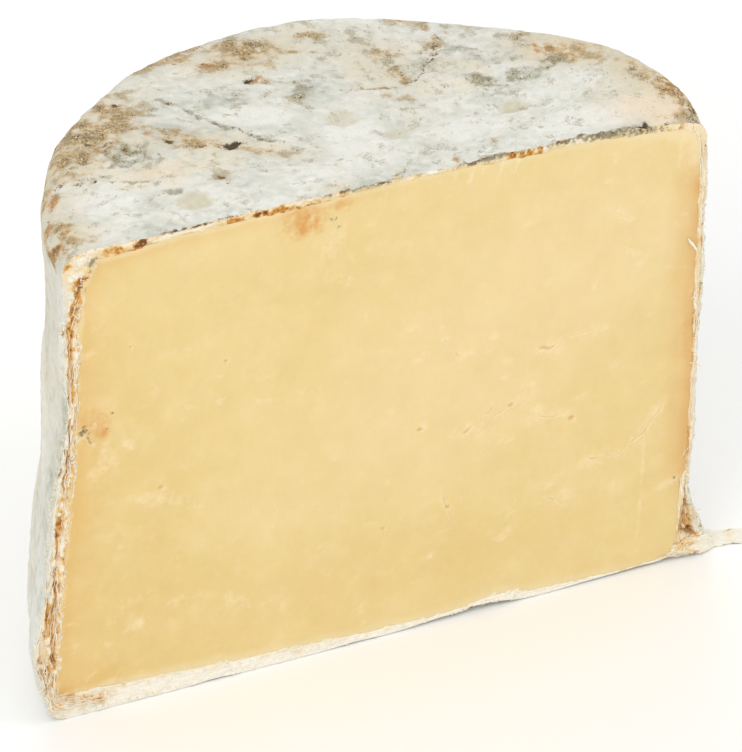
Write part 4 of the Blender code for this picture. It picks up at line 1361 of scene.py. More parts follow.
colour = tinted(
    colour,
    (PASTE_EDGE, 0.46 * right_strip * ease(inside_by, 0.026, 0.001)),
    (PASTE_EDGE, 0.8 * right_strip * uneven * ease(inside_by, 0.0075, 0.0004)),
    (LARD_GOLD, 0.66 * left_strip * ease(inside_by + 0.004 * broken, 0.026, 0.001)),
    (LARD_GOLD, 0.62 * left_strip * uneven * ease(inside_by, 0.008, 0.001)),
)
left_edge = ease(px, -0.15, -0.158)
colour = tinted(colour, (FRAY_CREAM, 0.5 * left_edge * ease(inside_by + 0.0016 * broken, 0.0018, 0.0002)))
under_crust = ease(pz, 0.235, 0.25) * ease(px, 0.15, 0.13)
colour = tinted(
    colour,
    (PASTE_EDGE, 0.28 * under_crust * ease(px, 0.06, -0.06) * ease(inside_by, 0.009, 0.0)),
)
over_base = ease(pz, 0.03, 0.018) * ease(px, -0.172, -0.15) * ease(px, 0.158, 0.12)
colour = tinted(
    colour,
    (FRAY_CREAM, 0.75 * over_base * ease(inside_by + 0.0016 * broken, 0.0052, 0.0)),
    (FRAY_CREAM, 0.55 * under_crust * ease(inside_by + 0.001 * broken, 0.0026, 0.0)),
)
orange = most(*laid(ORANGE_MARKS, px, pz, broken, 1.0, blot))
grey = most(*laid(GREY_DOTS, px, pz, 0.8 * fine, 1.0, blot))
at_corner = ease(px, 0.12, 0.14) * ease(pz, 0.215, 0.235)
colour = tinted(colour, (CORNER_PEACH, 0.7 * at_corner * ease(inside_by + 0.003 * broken, 0.008, 0.0004)))
flush_edge = most(over_base, under_crust, 0.8 * left_edge, at_corner)
groove = ease(inside_by, 0.0006 - 0.001 * flush_edge, -PASTE_OVERLAP)
sunk += (0.001 - 0.0007 * flush_edge - 0.0001 * at_corner) * groove

paste_points[:, 1] = sunk
move_points(paste_mesh, paste_points)
store(paste_mesh, ground=colour, pale=pale, gold=painted_recess_shade, orange=orange, grey=grey)
print("relief of the paste:", round(sunk.min() * 1000, 2), "to", round(sunk.max() * 1000, 2), "mm")

# %% [markdown]
# The paste: material
#
# Cheese glows a little, because light enters it and comes out a few millimetres away. A small share of
# subsurface scattering does this. More would wash the relief out. The colour is the painted ground with
# fine cloudy grain, paler where curd has torn, with a painted golden shade inside the cracks and holes.
# The surface is satin: a fresh wire cut is a touch greasy, so it has a soft broad sheen.

# %% Paste material
PALE_CURD = linear(246, 226, 184)
GOLDEN_RECESS_SHADE = linear(206, 158, 84)
STAIN_ORANGE = linear(217, 158, 84)
MOULD_GREY = linear(116, 110, 88)
GLOW_SHARE = 0.18
GLOW_COLOUR = (1.0, 0.62, 0.28)
GLOW_REACH = 0.0035
PASTE_RECESS = 0.016
PASTE_INSET = 0.001
PASTE_HUB = (0.0, 0.035, 0.13)

paste_material, tree, shader = new_material("cheddar_paste", 0.46, 0.34)
place = object_place(tree)
grain = noise_of(tree, place, 520.0, 4.0, 0.6)
cloudy = noise_of(tree, place, 95.0, 3.0, 0.5)
drift = noise_of(tree, place, 38.0, 5.0, 0.65)
mottle = blend(tree, grain, 0.5, cloudy, 0.5)
colour = attribute_of(tree, "ground").outputs["Color"]
colour = mixed(tree, math_node(tree, "MULTIPLY", drift, 0.38), colour, PASTE_CREAMY)
undrifted = math_node(tree, "SUBTRACT", 1.0, drift)
colour = mixed(tree, math_node(tree, "MULTIPLY", undrifted, 0.26), colour, PASTE_GOLDEN)
for stain in (
    # layer, colour, noise, level, sharpness, cover
    ("pale", PALE_CURD, mottle, 0.5, 1.0, 0.62),
    ("orange", STAIN_ORANGE, mottle, 0.45, 1.0, 0.95),
    # gold: the painted shade inside the cracks and holes
    ("gold", GOLDEN_RECESS_SHADE, mottle, 0.5, 1.0, 0.75),
    ("grey", MOULD_GREY, grain, 0.95, 2.0, 0.8),
):
    colour = stained(tree, colour, *stain)
depth = blend(tree, grain, 0.4, cloudy, 0.6)
surface(tree, shader, colour, depth, (0.975, 1.02), depth, 0.22, 0.0006)
shader.inputs["Subsurface Weight"].default_value = GLOW_SHARE
shader.inputs["Subsurface Radius"].default_value = GLOW_COLOUR
shader.inputs["Subsurface Scale"].default_value = GLOW_REACH

close_behind(paste_mesh, PASTE_RECESS, PASTE_INSET, PASTE_HUB)
paste = finish_piece("paste", paste_mesh, paste_material)

# %% [markdown]
# The cut rind: form
#
# Where the knife went through the rind, the layers show: mouldy cloth outside, then more cloth soaked
# with lard, then the dried skin of the cheese. On the left the layers have come apart into brown pockets.
# On the right the cloth has pulled away at the foot and left a gap. The section is a closed band that
# follows the outline of the cut, about 3000 steps long and 26 across, so one step is under half a
# millimetre. Its points start on the crust's own border and end behind the paste. Clouds that are
# stretched along the band give the frayed layers.

# %% Pockets and the gap
# Each row: x, z, half width, half height, turn, depth, rust, dark
POCKETS = (
    (-0.1615, 0.238, 0.0018, 0.0055, 0, 0.0035, 0.9, 0.75),
    (-0.164, 0.228, 0.0018, 0.0042, 5, 0.0035, 0.8, 0.7),
    (-0.1665, 0.217, 0.0015, 0.005, 5, 0.003, 1.0, 0.25),
    (-0.17, 0.218, 0.0008, 0.0022, 0, 0.0015, 0.6, 0.5),
    (-0.1668, 0.208, 0.0011, 0.006, 0, 0.0028, 1.0, 0.2),
    (-0.1662, 0.196, 0.0012, 0.004, 0, 0.0026, 0.9, 0.3),
    (-0.1682, 0.195, 0.001, 0.0022, 0, 0.002, 0.6, 0.6),
    (-0.167, 0.19, 0.0012, 0.0032, 0, 0.0025, 0.8, 0.4),
    (-0.1672, 0.181, 0.0012, 0.0034, 0, 0.0024, 0.9, 0.2),
    (-0.172, 0.162, 0.001, 0.0056, 8, 0.0035, 0.7, 0.8),
    (-0.1682, 0.165, 0.0016, 0.0018, 0, 0.003, 0.7, 0.65),
    (-0.1712, 0.153, 0.0011, 0.0034, 5, 0.0028, 0.7, 0.5),
    (-0.175, 0.143, 0.0016, 0.0044, 10, 0.0038, 0.8, 0.85),
    (-0.1692, 0.146, 0.0018, 0.0042, 0, 0.0035, 0.9, 0.6),
    (-0.1722, 0.137, 0.0015, 0.0032, 0, 0.0022, 0.5, 0.2),
    (-0.174, 0.112, 0.0018, 0.0054, 5, 0.0032, 1.0, 0.25),
    (-0.1755, 0.106, 0.0013, 0.0042, 5, 0.0035, 0.9, 0.8),
    (-0.1762, 0.095, 0.0012, 0.0052, 3, 0.0024, 0.7, 0.25),
    (-0.177, 0.085, 0.0012, 0.0042, 3, 0.0026, 0.9, 0.4),
    (-0.1776, 0.077, 0.0018, 0.0044, 3, 0.0036, 1.0, 0.8),
    (-0.1822, 0.08, 0.0008, 0.0022, 0, 0.0014, 0.6, 0.5),
    (-0.183, 0.07, 0.001, 0.0032, 3, 0.0018, 0.6, 0.55),
    (-0.1792, 0.064, 0.0018, 0.0054, 3, 0.004, 0.9, 0.85),
    (-0.1828, 0.06, 0.0015, 0.0054, 3, 0.0034, 0.9, 0.8),
    (-0.1796, 0.056, 0.002, 0.0034, 0, 0.003, 1.0, 0.3),
    (-0.1842, 0.052, 0.001, 0.0024, 0, 0.0016, 0.7, 0.55),
    (-0.1802, 0.045, 0.0012, 0.0044, 0, 0.0026, 1.0, 0.3),
    (-0.1804, 0.037, 0.0018, 0.0046, 0, 0.0038, 1.0, 0.85),
    (-0.188, 0.038, 0.0009, 0.0024, 0, 0.0014, 0.5, 0.7),
    (-0.187, 0.029, 0.0014, 0.0034, 0, 0.0022, 0.6, 0.6),
    (-0.1842, 0.028, 0.0018, 0.0044, 0, 0.0032, 0.7, 0.75),
    (-0.185, 0.019, 0.0012, 0.0026, 0, 0.002, 0.6, 0.6),
)
CHANNELS = (
    # points (x, z), half width, gold
    (((-0.1598, 0.243), (-0.1612, 0.238), (-0.164, 0.229), (-0.1655, 0.22)), 0.0015, 0.9),
    (((-0.1655, 0.22), (-0.1668, 0.208), (-0.1664, 0.196), (-0.1672, 0.181)), 0.00095, 0.9),
    (((-0.1708, 0.169), (-0.172, 0.162), (-0.1722, 0.154), (-0.1742, 0.145), (-0.1752, 0.14)), 0.0009, 0.85),
    (((-0.1684, 0.17), (-0.168, 0.164), (-0.169, 0.153), (-0.1692, 0.144), (-0.1702, 0.139)), 0.00085, 0.75),
    (((-0.1724, 0.118), (-0.1742, 0.112), (-0.1755, 0.106), (-0.1762, 0.095)), 0.0015, 0.95),
    (((-0.1762, 0.095), (-0.177, 0.085), (-0.1776, 0.077), (-0.1782, 0.07)), 0.0012, 0.95),
    (((-0.1782, 0.07), (-0.1792, 0.064), (-0.1798, 0.056), (-0.1802, 0.045)), 0.0015, 0.95),
    (((-0.1802, 0.045), (-0.1804, 0.037), (-0.18, 0.031)), 0.0011, 0.95),
    (((-0.1824, 0.068), (-0.1829, 0.06), (-0.1836, 0.051)), 0.0011, 0.8),
    (((-0.187, 0.033), (-0.185, 0.027), (-0.1846, 0.02)), 0.001, 0.6),
    (((-0.1834, 0.026), (-0.1826, 0.019)), 0.0009, 0.6),
)
GAP_APEX = (0.164, 0.043)
GAP_FOOT = (0.1609, 0.1712)
GAP_FLOOR = (0.0165, 0.0108)
GAP_DEPTH = 0.004

# %% Marks on the cut rind
# Each row: x, z, reach along, reach up, strength, and the turn in degrees where it doesn't lie straight
SECTION_RUST = (
    (-0.144, 0.256, 0.005, 0.0022, 1.0), (-0.129, 0.2555, 0.0055, 0.003, 1.0),
    (-0.16, 0.244, 0.004, 0.0026, 0.85, 10), (-0.167, 0.253, 0.0022, 0.0016, 0.75, 20),
    (-0.161, 0.259, 0.003, 0.001, 0.7), (-0.154, 0.249, 0.002, 0.0012, 0.6),
    (-0.156, 0.24, 0.003, 0.002, 0.5), (-0.082, 0.257, 0.0046, 0.0022, 0.95),
    (-0.068, 0.2575, 0.005, 0.0026, 1.0), (-0.057, 0.257, 0.007, 0.0028, 1.0),
    (-0.043, 0.254, 0.009, 0.004, 0.95), (-0.025, 0.256, 0.005, 0.0024, 0.6),
    (0.0635, 0.258, 0.003, 0.002, 0.95), (0.069, 0.257, 0.0022, 0.0018, 0.85),
    (0.074, 0.257, 0.003, 0.0028, 1.0, 20), (0.079, 0.2575, 0.0018, 0.0022, 0.75),
    (0.144, 0.256, 0.005, 0.002, 0.35), (0.156, 0.251, 0.003, 0.002, 0.45),
    (0.163, 0.245, 0.002, 0.004, 0.45), (-0.16, 0.0085, 0.0085, 0.0038, 0.62, -14),
    (-0.172, 0.0125, 0.006, 0.0022, 0.6, -30), (-0.052, 0.004, 0.005, 0.0016, 0.4),
    (0.166, 0.006, 0.005, 0.003, 0.35), (0.17, 0.013, 0.005, 0.002, 0.3, -20),
    (0.166, 0.13, 0.001, 0.02, 0.5), (0.165, 0.07, 0.0012, 0.014, 0.55),
)
SECTION_DARK = (
    (-0.129, 0.257, 0.004, 0.0018, 0.9), (-0.105, 0.2597, 0.011, 0.0007, 0.95),
    (-0.068, 0.2585, 0.0034, 0.0016, 0.75), (-0.043, 0.257, 0.008, 0.0014, 0.35),
    (0.045, 0.2603, 0.008, 0.0007, 0.6), (0.072, 0.259, 0.01, 0.0012, 0.45, 2),
    (-0.16, 0.008, 0.004, 0.0014, 0.3, -14), (0.045, 0.0034, 0.006, 0.0006, 0.6),
)
SECTION_MOSS = (
    (0.02, 0.26, 0.02, 0.001, 0.5), (0.055, 0.26, 0.014, 0.001, 0.7), (-0.11, 0.2595, 0.015, 0.001, 0.8),
    (-0.153, 0.253, 0.0034, 0.0022, 0.95, 20), (0.169, 0.15, 0.0006, 0.07, 0.6),
)
SECTION_WHITE = (
    (-0.164, 0.247, 0.0026, 0.0024, 1.1), (-0.16, 0.255, 0.0034, 0.0018, 0.8),
    (0.1, 0.256, 0.006, 0.003, 0.5), (-0.115, 0.256, 0.016, 0.0024, 0.5), (0.02, 0.257, 0.018, 0.0022, 0.6),
    (0.158, 0.248, 0.008, 0.008, 0.3),
)

TOP_EDGE_DARK = (
    # x, depth under the crust, reach along, reach down, strength, turn
    (-0.0242, 0.0002, 0.008, 0.001, 0.8), (-0.0048, 0.0002, 0.009, 0.001, 0.8),
    (0.044, 0.0004, 0.008, 0.0014, 0.85), (0.06, 0.0002, 0.008, 0.0008, 0.8),
    (0.089, 0.0006, 0.004, 0.002, 1.0), (0.1, 0.0006, 0.006, 0.0014, 0.9),
    (0.112, 0.0008, 0.008, 0.0018, 0.85), (0.123, 0.0008, 0.007, 0.0018, 0.9),
    (0.135, 0.0012, 0.005, 0.0026, 1.0), (0.1445, 0.0024, 0.004, 0.0024, 0.8, 30),
    (0.149, 0.003, 0.002, 0.0026, 0.7),
)
TOP_EDGE_MOSS = (
    (-0.015, 0.0004, 0.02, 0.0014, 0.7), (0.05, 0.0006, 0.016, 0.0016, 0.85),
    (0.095, 0.0008, 0.012, 0.0022, 0.9), (0.116, 0.001, 0.018, 0.0028, 1.0),
    (0.136, 0.0012, 0.01, 0.0028, 0.8),
)

# %% Band of points across the cut rind
ACROSS = 26
BEHIND_PASTE = 0.0013
BACK_DEPTH = 0.0065
CREAM = linear(243, 220, 178)
CLOTH_WHITE = linear(252, 247, 230)
CLOTH_GREY = linear(228, 226, 212)
SKIN_GOLD = linear(226, 188, 118)
BASE_CREAM = linear(254, 250, 238)
TAIL_CREAM = linear(248, 244, 228)
GAP_TAN = linear(222, 196, 150)

rows = len(outer_line)
reach = np.linalg.norm(inner_line - outer_line, axis=1)
inward = (inner_line - outer_line) / reach[:, None]
share = np.linspace(0, 1, ACROSS)[None, :] * (1 + BEHIND_PASTE / reach)[:, None]
flat_x = outer_line[:, :1] + inward[:, :1] * share * reach[:, None]
flat_z = outer_line[:, 1:] + inward[:, 1:] * share * reach[:, None]
sx, sz, share = flat_x.ravel(), flat_z.ravel(), share.ravel()
deep = share * np.repeat(reach, ACROSS)
run_along = np.repeat(along, ACROSS)
key = np.repeat(outer_key, ACROSS)
flat_points = np.column_stack([sx, np.zeros(len(sx)), sz])

loop = 2 * math.pi * run_along / passed[-1]
wide_loop = passed[-1] / (2 * math.pi)
stretched = np.column_stack([np.cos(loop) * wide_loop * 0.12, np.sin(loop) * wide_loop * 0.12, deep])
fibres = cloud(stretched, 0.0016, 51, 3)
strands = cloud(stretched, 0.0032, 52, 2)
lumps = cloud(flat_points, 0.0055, 53, 3)
fine = cloud(flat_points, 0.0018, 54, 2)
broken = 0.7 * lumps + 0.5 * fine
on_left = ease(key, -SIDE_START + 0.004, -SIDE_START - 0.006) * ease(key, -BASE_START, -BASE_START + 0.014)
on_right = ease(key, SIDE_START - 0.004, SIDE_START + 0.006) * ease(key, BASE_START, BASE_START - 0.014)
on_base = ease(np.abs(key), BASE_START - 0.012, BASE_START)
on_top_band = ease(np.abs(key), SIDE_START, SIDE_START - 0.01)

left_corner = np.exp(-(((sx + 0.159) / 0.009) ** 2) - (((sz - 0.249) / 0.011) ** 2))
proud = 0.00035 + 0.0003 * on_left
depth = -proud * (0.5 + lumps) - 0.00045 * on_left * fibres - 0.0003 * fibres - 0.0004 * on_left * strands
clumps = cloud(flat_points, 0.003, 57, 3)
depth -= np.maximum(on_base, on_top_band) * (0.0004 * clumps + 0.00025 * fine)
depth -= left_corner * (0.0011 * np.maximum(clumps, 0) + 0.0004 * fine)
rust = np.zeros(len(sx))
dark = np.zeros(len(sx))
golden = np.zeros(len(sx))
lipped = np.zeros(len(sx))
wobble = 0.0011 * cloud(stretched, 0.009, 55, 2)
swollen = np.clip(1 + 1.1 * cloud(stretched * (4.0, 4.0, 0.0), 0.01, 56, 2), 0.15, 2.0)
for line, half_width, gold in CHANNELS:
    away, _, _ = line_distance(sx + wobble, sz, line)
    width = 1.25 * half_width * swollen * (0.8 + 0.5 * fine)
    channel = hump(away, width) * ease(swollen, 0.2, 0.6)
    depth = np.maximum(depth, depth * (1 - channel) + 0.0012 * channel)
    golden = np.maximum(golden, gold * ease(channel, 0.15, 0.65))
    rust = np.maximum(rust, 0.75 * gold * ease(channel + 0.45 * clumps, 0.7, 1.25))
    lip = hump(away - 2.1 * width, 0.9 * width) * (1 - channel)
    lipped = np.maximum(lipped, lip)
for at_x, at_z, half_width, half_height, turn, sunk_by, rusty, darkness in POCKETS:
    stringy = 0.8 * fibres + 0.6 * broken
    hollow = patch(sx + wobble, sz, stringy, (at_x, at_z), (1.25 * half_width, half_height), turn)
    depth = np.maximum(depth, depth * (1 - hollow) + 0.6 * sunk_by * hollow)
    golden = np.maximum(golden, rusty * hollow)
    rust = np.maximum(rust, 0.75 * rusty * hollow * ease(fine + 0.5 * fibres, -0.3, 0.3))
    core = patch(sx + wobble, sz, 1.5 * stringy, (at_x, at_z), (0.45 * half_width, 0.6 * half_height), turn)
    dark = np.maximum(dark, 0.75 * darkness * core)
depth -= 0.00055 * lipped * (0.6 + fibres)

gap_floor = np.interp(sx, GAP_FOOT, GAP_FLOOR)
up_gap = np.clip((sz - gap_floor) / (GAP_APEX[1] - gap_floor), 0, 1)
gap_left = GAP_FOOT[0] + (GAP_APEX[0] - GAP_FOOT[0]) * up_gap
gap_right = GAP_FOOT[1] + (GAP_APEX[0] - GAP_FOOT[1]) * up_gap
inside_gap = np.minimum(sx - gap_left, gap_right - sx) + 0.0004 * fine
gap = ease(inside_gap, -0.0002, 0.0009) * ease(sz, gap_floor - 0.001, gap_floor + 0.001) * (sx > 0.15)
gap_ribs = 0.0012 * np.sin(sz / 0.0016 + 2.5 * lumps) + 0.001 * fine
depth = depth * (1 - gap) + gap * (GAP_DEPTH * (1 - 0.55 * up_gap) + gap_ribs)

crumbly = np.maximum(on_left, 0.7 * on_base) * hump(deep - np.repeat(reach, ACROSS), 0.0012)
depth -= 0.0005 * crumbly * ease(clumps + 0.5 * fine, -0.1, 0.5)
at_corner = ease(sx, 0.12, 0.14) * ease(sz, 0.215, 0.235)
depth *= 1 - 0.75 * at_corner
depth *= ease(deep, 0.0, 0.0007)
to_paste = deep - np.repeat(reach, ACROSS)
flush = most(on_base, on_top_band, 0.8 * on_left, at_corner)
behind = ease(to_paste + 0.0007 * flush * (1 + fine), -0.001, 0.0009)
depth += (0.001 - 0.0003 * flush - 0.0003 * at_corner) * behind
print("cut rind: depth from", round(depth.min() * 1000, 2), "to", round(depth.max() * 1000, 2), "mm")

# %% Colours of the cut rind
colour = np.tile(CREAM, (len(sx), 1))
colour = tinted(colour, (CLOTH_WHITE, np.maximum(ease(fibres + 0.3 * lumps, 0.0, 0.5), 0.9 * lipped)))
outside = ease(share + 0.3 * lumps + 0.2 * clumps, 0.4, 0.08)
colour = tinted(colour, (CLOTH_GREY, outside * np.maximum(on_left, 0.9 * on_right) * 0.9))
next_to_paste = ease(share + 0.15 * lumps, 0.86, 1.0)
colour = tinted(
    colour,
    (SKIN_GOLD, 0.55 * next_to_paste * on_right),
    (FRAY_CREAM, 0.9 * on_left * ease(share + 0.3 * clumps, 0.72, 1.0)),
)
by_the_paste = ease(share + 0.35 * lumps + 0.15 * fine, 0.25, 1.0)
colour = tinted(
    colour,
    (PASTE_BASE, 0.75 * on_top_band * by_the_paste),
    (BASE_CREAM, 0.85 * on_base),
    (FRAY_CREAM, 0.7 * on_base * ease(share + 0.35 * clumps, 0.7, 1.05)),
    (CORNER_PEACH, 0.9 * at_corner * ease(share + 0.5 * clumps, -0.3, 0.3)),
    (PASTE_BASE, 0.6 * at_corner * ease(share + 0.35 * clumps, 0.35, 1.0)),
    (CORNER_PEACH, 0.75 * left_corner),
    (GAP_TAN, gap),
)
white = 0.8 * crumbly * ease(clumps + 0.6 * fine, 0.0, 0.5)
white = most(white, *laid(SECTION_WHITE, sx, sz, broken))
colour = tinted(colour, (CLOTH_WHITE, white))

tan = on_left * 0.9 * ease(clumps + 0.6 * fibres, -0.15, 0.55) * ease(share, 0.1, 0.4) * ease(share, 1.0, 0.9)
tan = most(
    tan,
    golden,
    0.3 * on_right * ease(lumps + 0.5 * fibres, 0.1, 0.6),
    0.5 * on_top_band * ease(lumps, 0.25, 0.7),
    0.12 * on_base * ease(lumps, 0.45, 0.9),
    gap * (0.6 + 0.5 * fine),
)
tan = most(tan, *laid(SECTION_RUST, sx, sz, broken, 1.1, blot))
rust = most(rust, *laid(SECTION_RUST, sx, sz, broken, 1.0, blot))
rust *= 1 - 0.55 * on_base
rust *= 1 - 0.4 * on_top_band * ease(fine + 0.6 * clumps, 0.5, -0.3)
rust = np.maximum(rust, gap * ease(up_gap + 0.4 * lumps, 0.55, 0.1) * 0.28)
dark = most(dark, *laid(SECTION_DARK, sx, sz, broken, 1.0, blot))
dark = most(dark, *laid(TOP_EDGE_DARK, sx, deep, 0.6 * clumps + 0.8 * fine, 0.5 * on_top_band, blot))
dark = most(
    dark,
    0.45 * gap * ease(fine, 0.2, 0.6),
    0.5 * on_right * ease(fine + 0.4 * lumps, 0.45, 0.8) * ease(share, 0.6, 0.2),
    0.55 * on_left * ease(fine + 0.5 * clumps, 0.5, 0.85) * ease(share, 0.1, 0.3),
)
moss = most(*laid(SECTION_MOSS, sx, sz, broken, 1.0, blot))
moss = most(moss, *laid(TOP_EDGE_MOSS, sx, deep, 0.3 * clumps + 0.5 * fine, 1.15 * on_top_band, blot))
moss = most(
    moss,
    gap * ease(up_gap + 0.3 * lumps, 0.55, 1.0) * 0.6,
    0.5 * (sx > 0.16) * ease(sz, 0.06, 0.045) * ease(share + 0.3 * clumps, 0.22, 0.02),
    0.5 * on_top_band * ease(share, 0.22, 0.02) * ease(lumps, -0.2, 0.4),
)

# %% Cut rind as a closed band
front = np.stack([sx, depth, sz], axis=1).reshape(rows, ACROSS, 3)
back_inner = front[:, -1] * (1, 0, 1) + (0, BACK_DEPTH, 0)
back_outer = front[:, 0] * (1, 0, 1) + (0, BACK_DEPTH, 0)
back_outer[:, [0, 2]] += inward * np.minimum(0.6 * reach, 0.003)[:, None]
band = np.concatenate([front, back_inner[:, None], back_outer[:, None]], axis=1)


def with_back(values, plain):
    """Values of the front, with a plain one for the two hidden columns behind it."""
    wide = values.reshape(rows, ACROSS, -1)
    hidden = np.tile(plain, (rows, 2, 1)).reshape(rows, 2, -1)
    return np.concatenate([wide, hidden], axis=1).reshape(rows * (ACROSS + 2), -1)


band[:, :, 2] = np.maximum(band[:, :, 2], 0.0)
band_faces = grid_faces(rows, ACROSS + 2, ring=True, tube=True)
section_mesh = new_mesh("rind_section", band.reshape(-1, 3), band_faces)
store(section_mesh, ground=with_back(colour, CREAM))
for name, values in (("tan", tan), ("rust", rust), ("moss", moss), ("dark", dark)):
    store(section_mesh, **{name: with_back(values, [0.0])[:, 0]})
turn_out(section_mesh)

# %% [markdown]
# The cut rind: material
#
# The same stains as on the crust lie here over cream cloth and skin, so one helper serves both. The
# colours are warmer, because these layers never saw the mould, and the bump is fibrous.

# %% Section material
TAN_TONES = (linear(238, 194, 112), linear(224, 160, 64))
RUST_TONES = (linear(206, 136, 50), linear(160, 92, 30))
MOSS_TONES = (linear(166, 162, 138), linear(124, 118, 94))
DARK_TONES = (linear(132, 84, 44), linear(88, 56, 32))

section_material, tree, shader = new_material("cut_rind", 0.85, 0.18)
place = object_place(tree)
grain = noise_of(tree, place, 820.0, 5.0, 0.75)
blotch = noise_of(tree, place, 320.0, 5.0, 0.65)
both = blend(tree, grain, 0.5, blotch, 0.5)
colour = attribute_of(tree, "ground").outputs["Color"]
for layer, between, tones, level, sharpness in (
    ("moss", grain, MOSS_TONES, 0.7, 1.6),
    ("tan", blotch, TAN_TONES, 0.62, 1.5),
    ("rust", grain, RUST_TONES, 0.72, 1.8),
    ("dark", grain, DARK_TONES, 0.72, 2.2),
):
    colour = stained(tree, colour, layer, mixed(tree, between, *tones), both, level, sharpness)
surface(tree, shader, colour, grain, (0.95, 1.05), both, 0.6, 0.0008)
rind_section = finish_piece("rind_section", section_mesh, section_material)

# %% [markdown]
# The loose tail of cloth
#
# At the lower right a strip of muslin has been peeled back and lies beside the foot. It is a real, loose
# strip, so it is its own piece, with the same stations as in the solid: a middle line, a half width and a
# thickness at six places. The fine grid adds what the solid leaves out: ribs of folded cloth along it, a
# frayed edge, and a thin rolled end.

# %% Tail
TAIL_STATIONS = (
    # x, middle y, half width, thickness
    (0.15, 0.01, 0.007, 0.0075), (0.172, 0.01, 0.0075, 0.006), (0.184, 0.009, 0.0072, 0.0036),
    (0.196, 0.0058, 0.006, 0.003), (0.208, 0.0045, 0.0054, 0.0028), (0.221, 0.005, 0.004, 0.0022),
)
TAIL_WAVE = (0.035, 0.0006)
TAIL_RAGGED = (0.014, 0.0004)
TAIL_END_CURL = 0.002
TAIL_THIN = 0.45
TAIL_ROLL = 0.1
TAIL_CELLS = (240, 90)
TAIL_STAIN = ((0.171, 0.0045), (0.006, 0.0016))

tail_share = np.repeat(np.linspace(0, 1, TAIL_CELLS[0]), TAIL_CELLS[1])
turn = np.tile(np.linspace(0, 2 * math.pi, TAIL_CELLS[1], endpoint=False), TAIL_CELLS[0])
stations = np.array(TAIL_STATIONS)
places = np.linspace(0, 1, len(stations))
x, middle, half_width, thick = (np.interp(tail_share, places, stations[:, k]) for k in range(4))
free = ease(tail_share, 0.2, 0.6)
wave, ragged = (free * height * np.sin(2 * math.pi * x / size) for size, height in (TAIL_WAVE, TAIL_RAGGED))
rough = np.column_stack([x * 0.35, np.sin(turn) * half_width, np.cos(turn) * half_width])
ribs = cloud(rough, 0.0022, 61, 3)
ragged = ragged + free * 0.0007 * cloud(rough, 0.004, 62, 3)
closed = np.sqrt(np.clip(1 - ease(tail_share, 0.965, 1.0) ** 2, 0.0004, 1))
across = np.sign(np.cos(turn)) * np.abs(np.cos(turn)) ** 0.7
upper = np.sin(turn)
tail_y = middle + wave + across * (half_width + ragged) * closed
tail_x = x - TAIL_END_CURL * across**2 * ease(tail_share, 0.8, 1.0)
rolled = 1 + TAIL_ROLL * np.sin(2 * math.pi * x / TAIL_RAGGED[0] + across)
tail_top = thick * (1 - TAIL_THIN * across**2) * rolled
tail_z = np.where(upper > 0, tail_top * np.abs(upper) ** 0.45, 0.0)
tail_z += ease(upper, 0.05, 0.4) * (0.00045 * ribs + 0.0003 * np.sin(tail_y / 0.00055 + 2 * ribs)) * closed
tail_points = np.stack([tail_x, tail_y, np.maximum(tail_z * closed, 0.0)], axis=1)

tail_faces = grid_faces(*TAIL_CELLS, tube=True)
tail_faces.append(list(range(TAIL_CELLS[1])))
tail_faces.append(list(range((TAIL_CELLS[0] - 1) * TAIL_CELLS[1], TAIL_CELLS[0] * TAIL_CELLS[1])))
tail_mesh = new_mesh("loose_tail", tail_points, tail_faces)
tail_lump = cloud(tail_points, 0.006, 63, 3)
near = ease(tail_share, 0.45, 0.1)
store(
    tail_mesh,
    ground=tinted(np.tile(TAIL_CREAM, (len(x), 1)), (CREAM, 0.5 * ease(tail_lump + ribs * 0.5, 0.1, 0.8))),
    tan=np.maximum(0.55 * near * ease(tail_lump, 0.0, 0.5), 0.45 * ease(upper, 0.1, -0.2)),
    rust=0.8 * patch(x, tail_z, 0.6 * tail_lump, *TAIL_STAIN),
    moss=0.45 * ease(tail_z, 0.0012, 0.0002) * ease(tail_lump, -0.2, 0.3),
    dark=0.25 * ease(tail_lump, 0.5, 0.8),
)
turn_out(tail_mesh)
loose_tail = finish_piece("loose_tail", tail_mesh, section_material)

# %% [markdown]
# Threads and frayed cloth
#
# Where the knife tore the muslin, its threads stick out of the section. Each is a thin round strand along
# a path, so a small node tree suits them: a path goes in, it is shaken a little, and it comes out as a
# tapered tube. The paths are drawn by chance within the lanes where the photograph shows threads, always
# with the same seed.

# %% Node tree for a strand along each path
STRAND_SIDES = 6
VARIETY = 97.0


def node_group(name, *numbers):
    """A tree that takes geometry, the named numbers, a seed and a material, and gives geometry."""
    group = bpy.data.node_groups.new(name, "GeometryNodeTree")
    sockets = [("Geometry", "Geometry"), *((label, "Float") for label in numbers)]
    sockets += [("Seed", "Int"), ("Material", "Material")]
    for label, kind in sockets:
        group.interface.new_socket(label, in_out="INPUT", socket_type="NodeSocket" + kind)
    group.interface.new_socket("Geometry", in_out="OUTPUT", socket_type="NodeSocketGeometry")
    return group, group.nodes.new("NodeGroupInput").outputs, group.nodes.new("NodeGroupOutput")


def painted_number(group, name):
    """A number that the carrier mesh holds for each of its points."""
    node = add_node(group, "GeometryNodeInputNamedAttribute", {"Name": name}, data_type="FLOAT")
    return node.outputs["Attribute"]


def vector_node(group, operation, inputs):
    return add_node(group, "ShaderNodeVectorMath", inputs, operation=operation).outputs[0]


def pushed(group, geometry, waves, reach):
    """Geometry whose points are pushed about by a noise, as far as a reach."""
    centred = vector_node(group, "SUBTRACT", {0: waves.outputs["Color"], 1: (0.5, 0.5, 0.5)})
    offset = vector_node(group, "SCALE", {0: centred, 3: reach})
    return add_node(group, "GeometryNodeSetPosition", {"Geometry": geometry, "Offset": offset}).outputs[0]


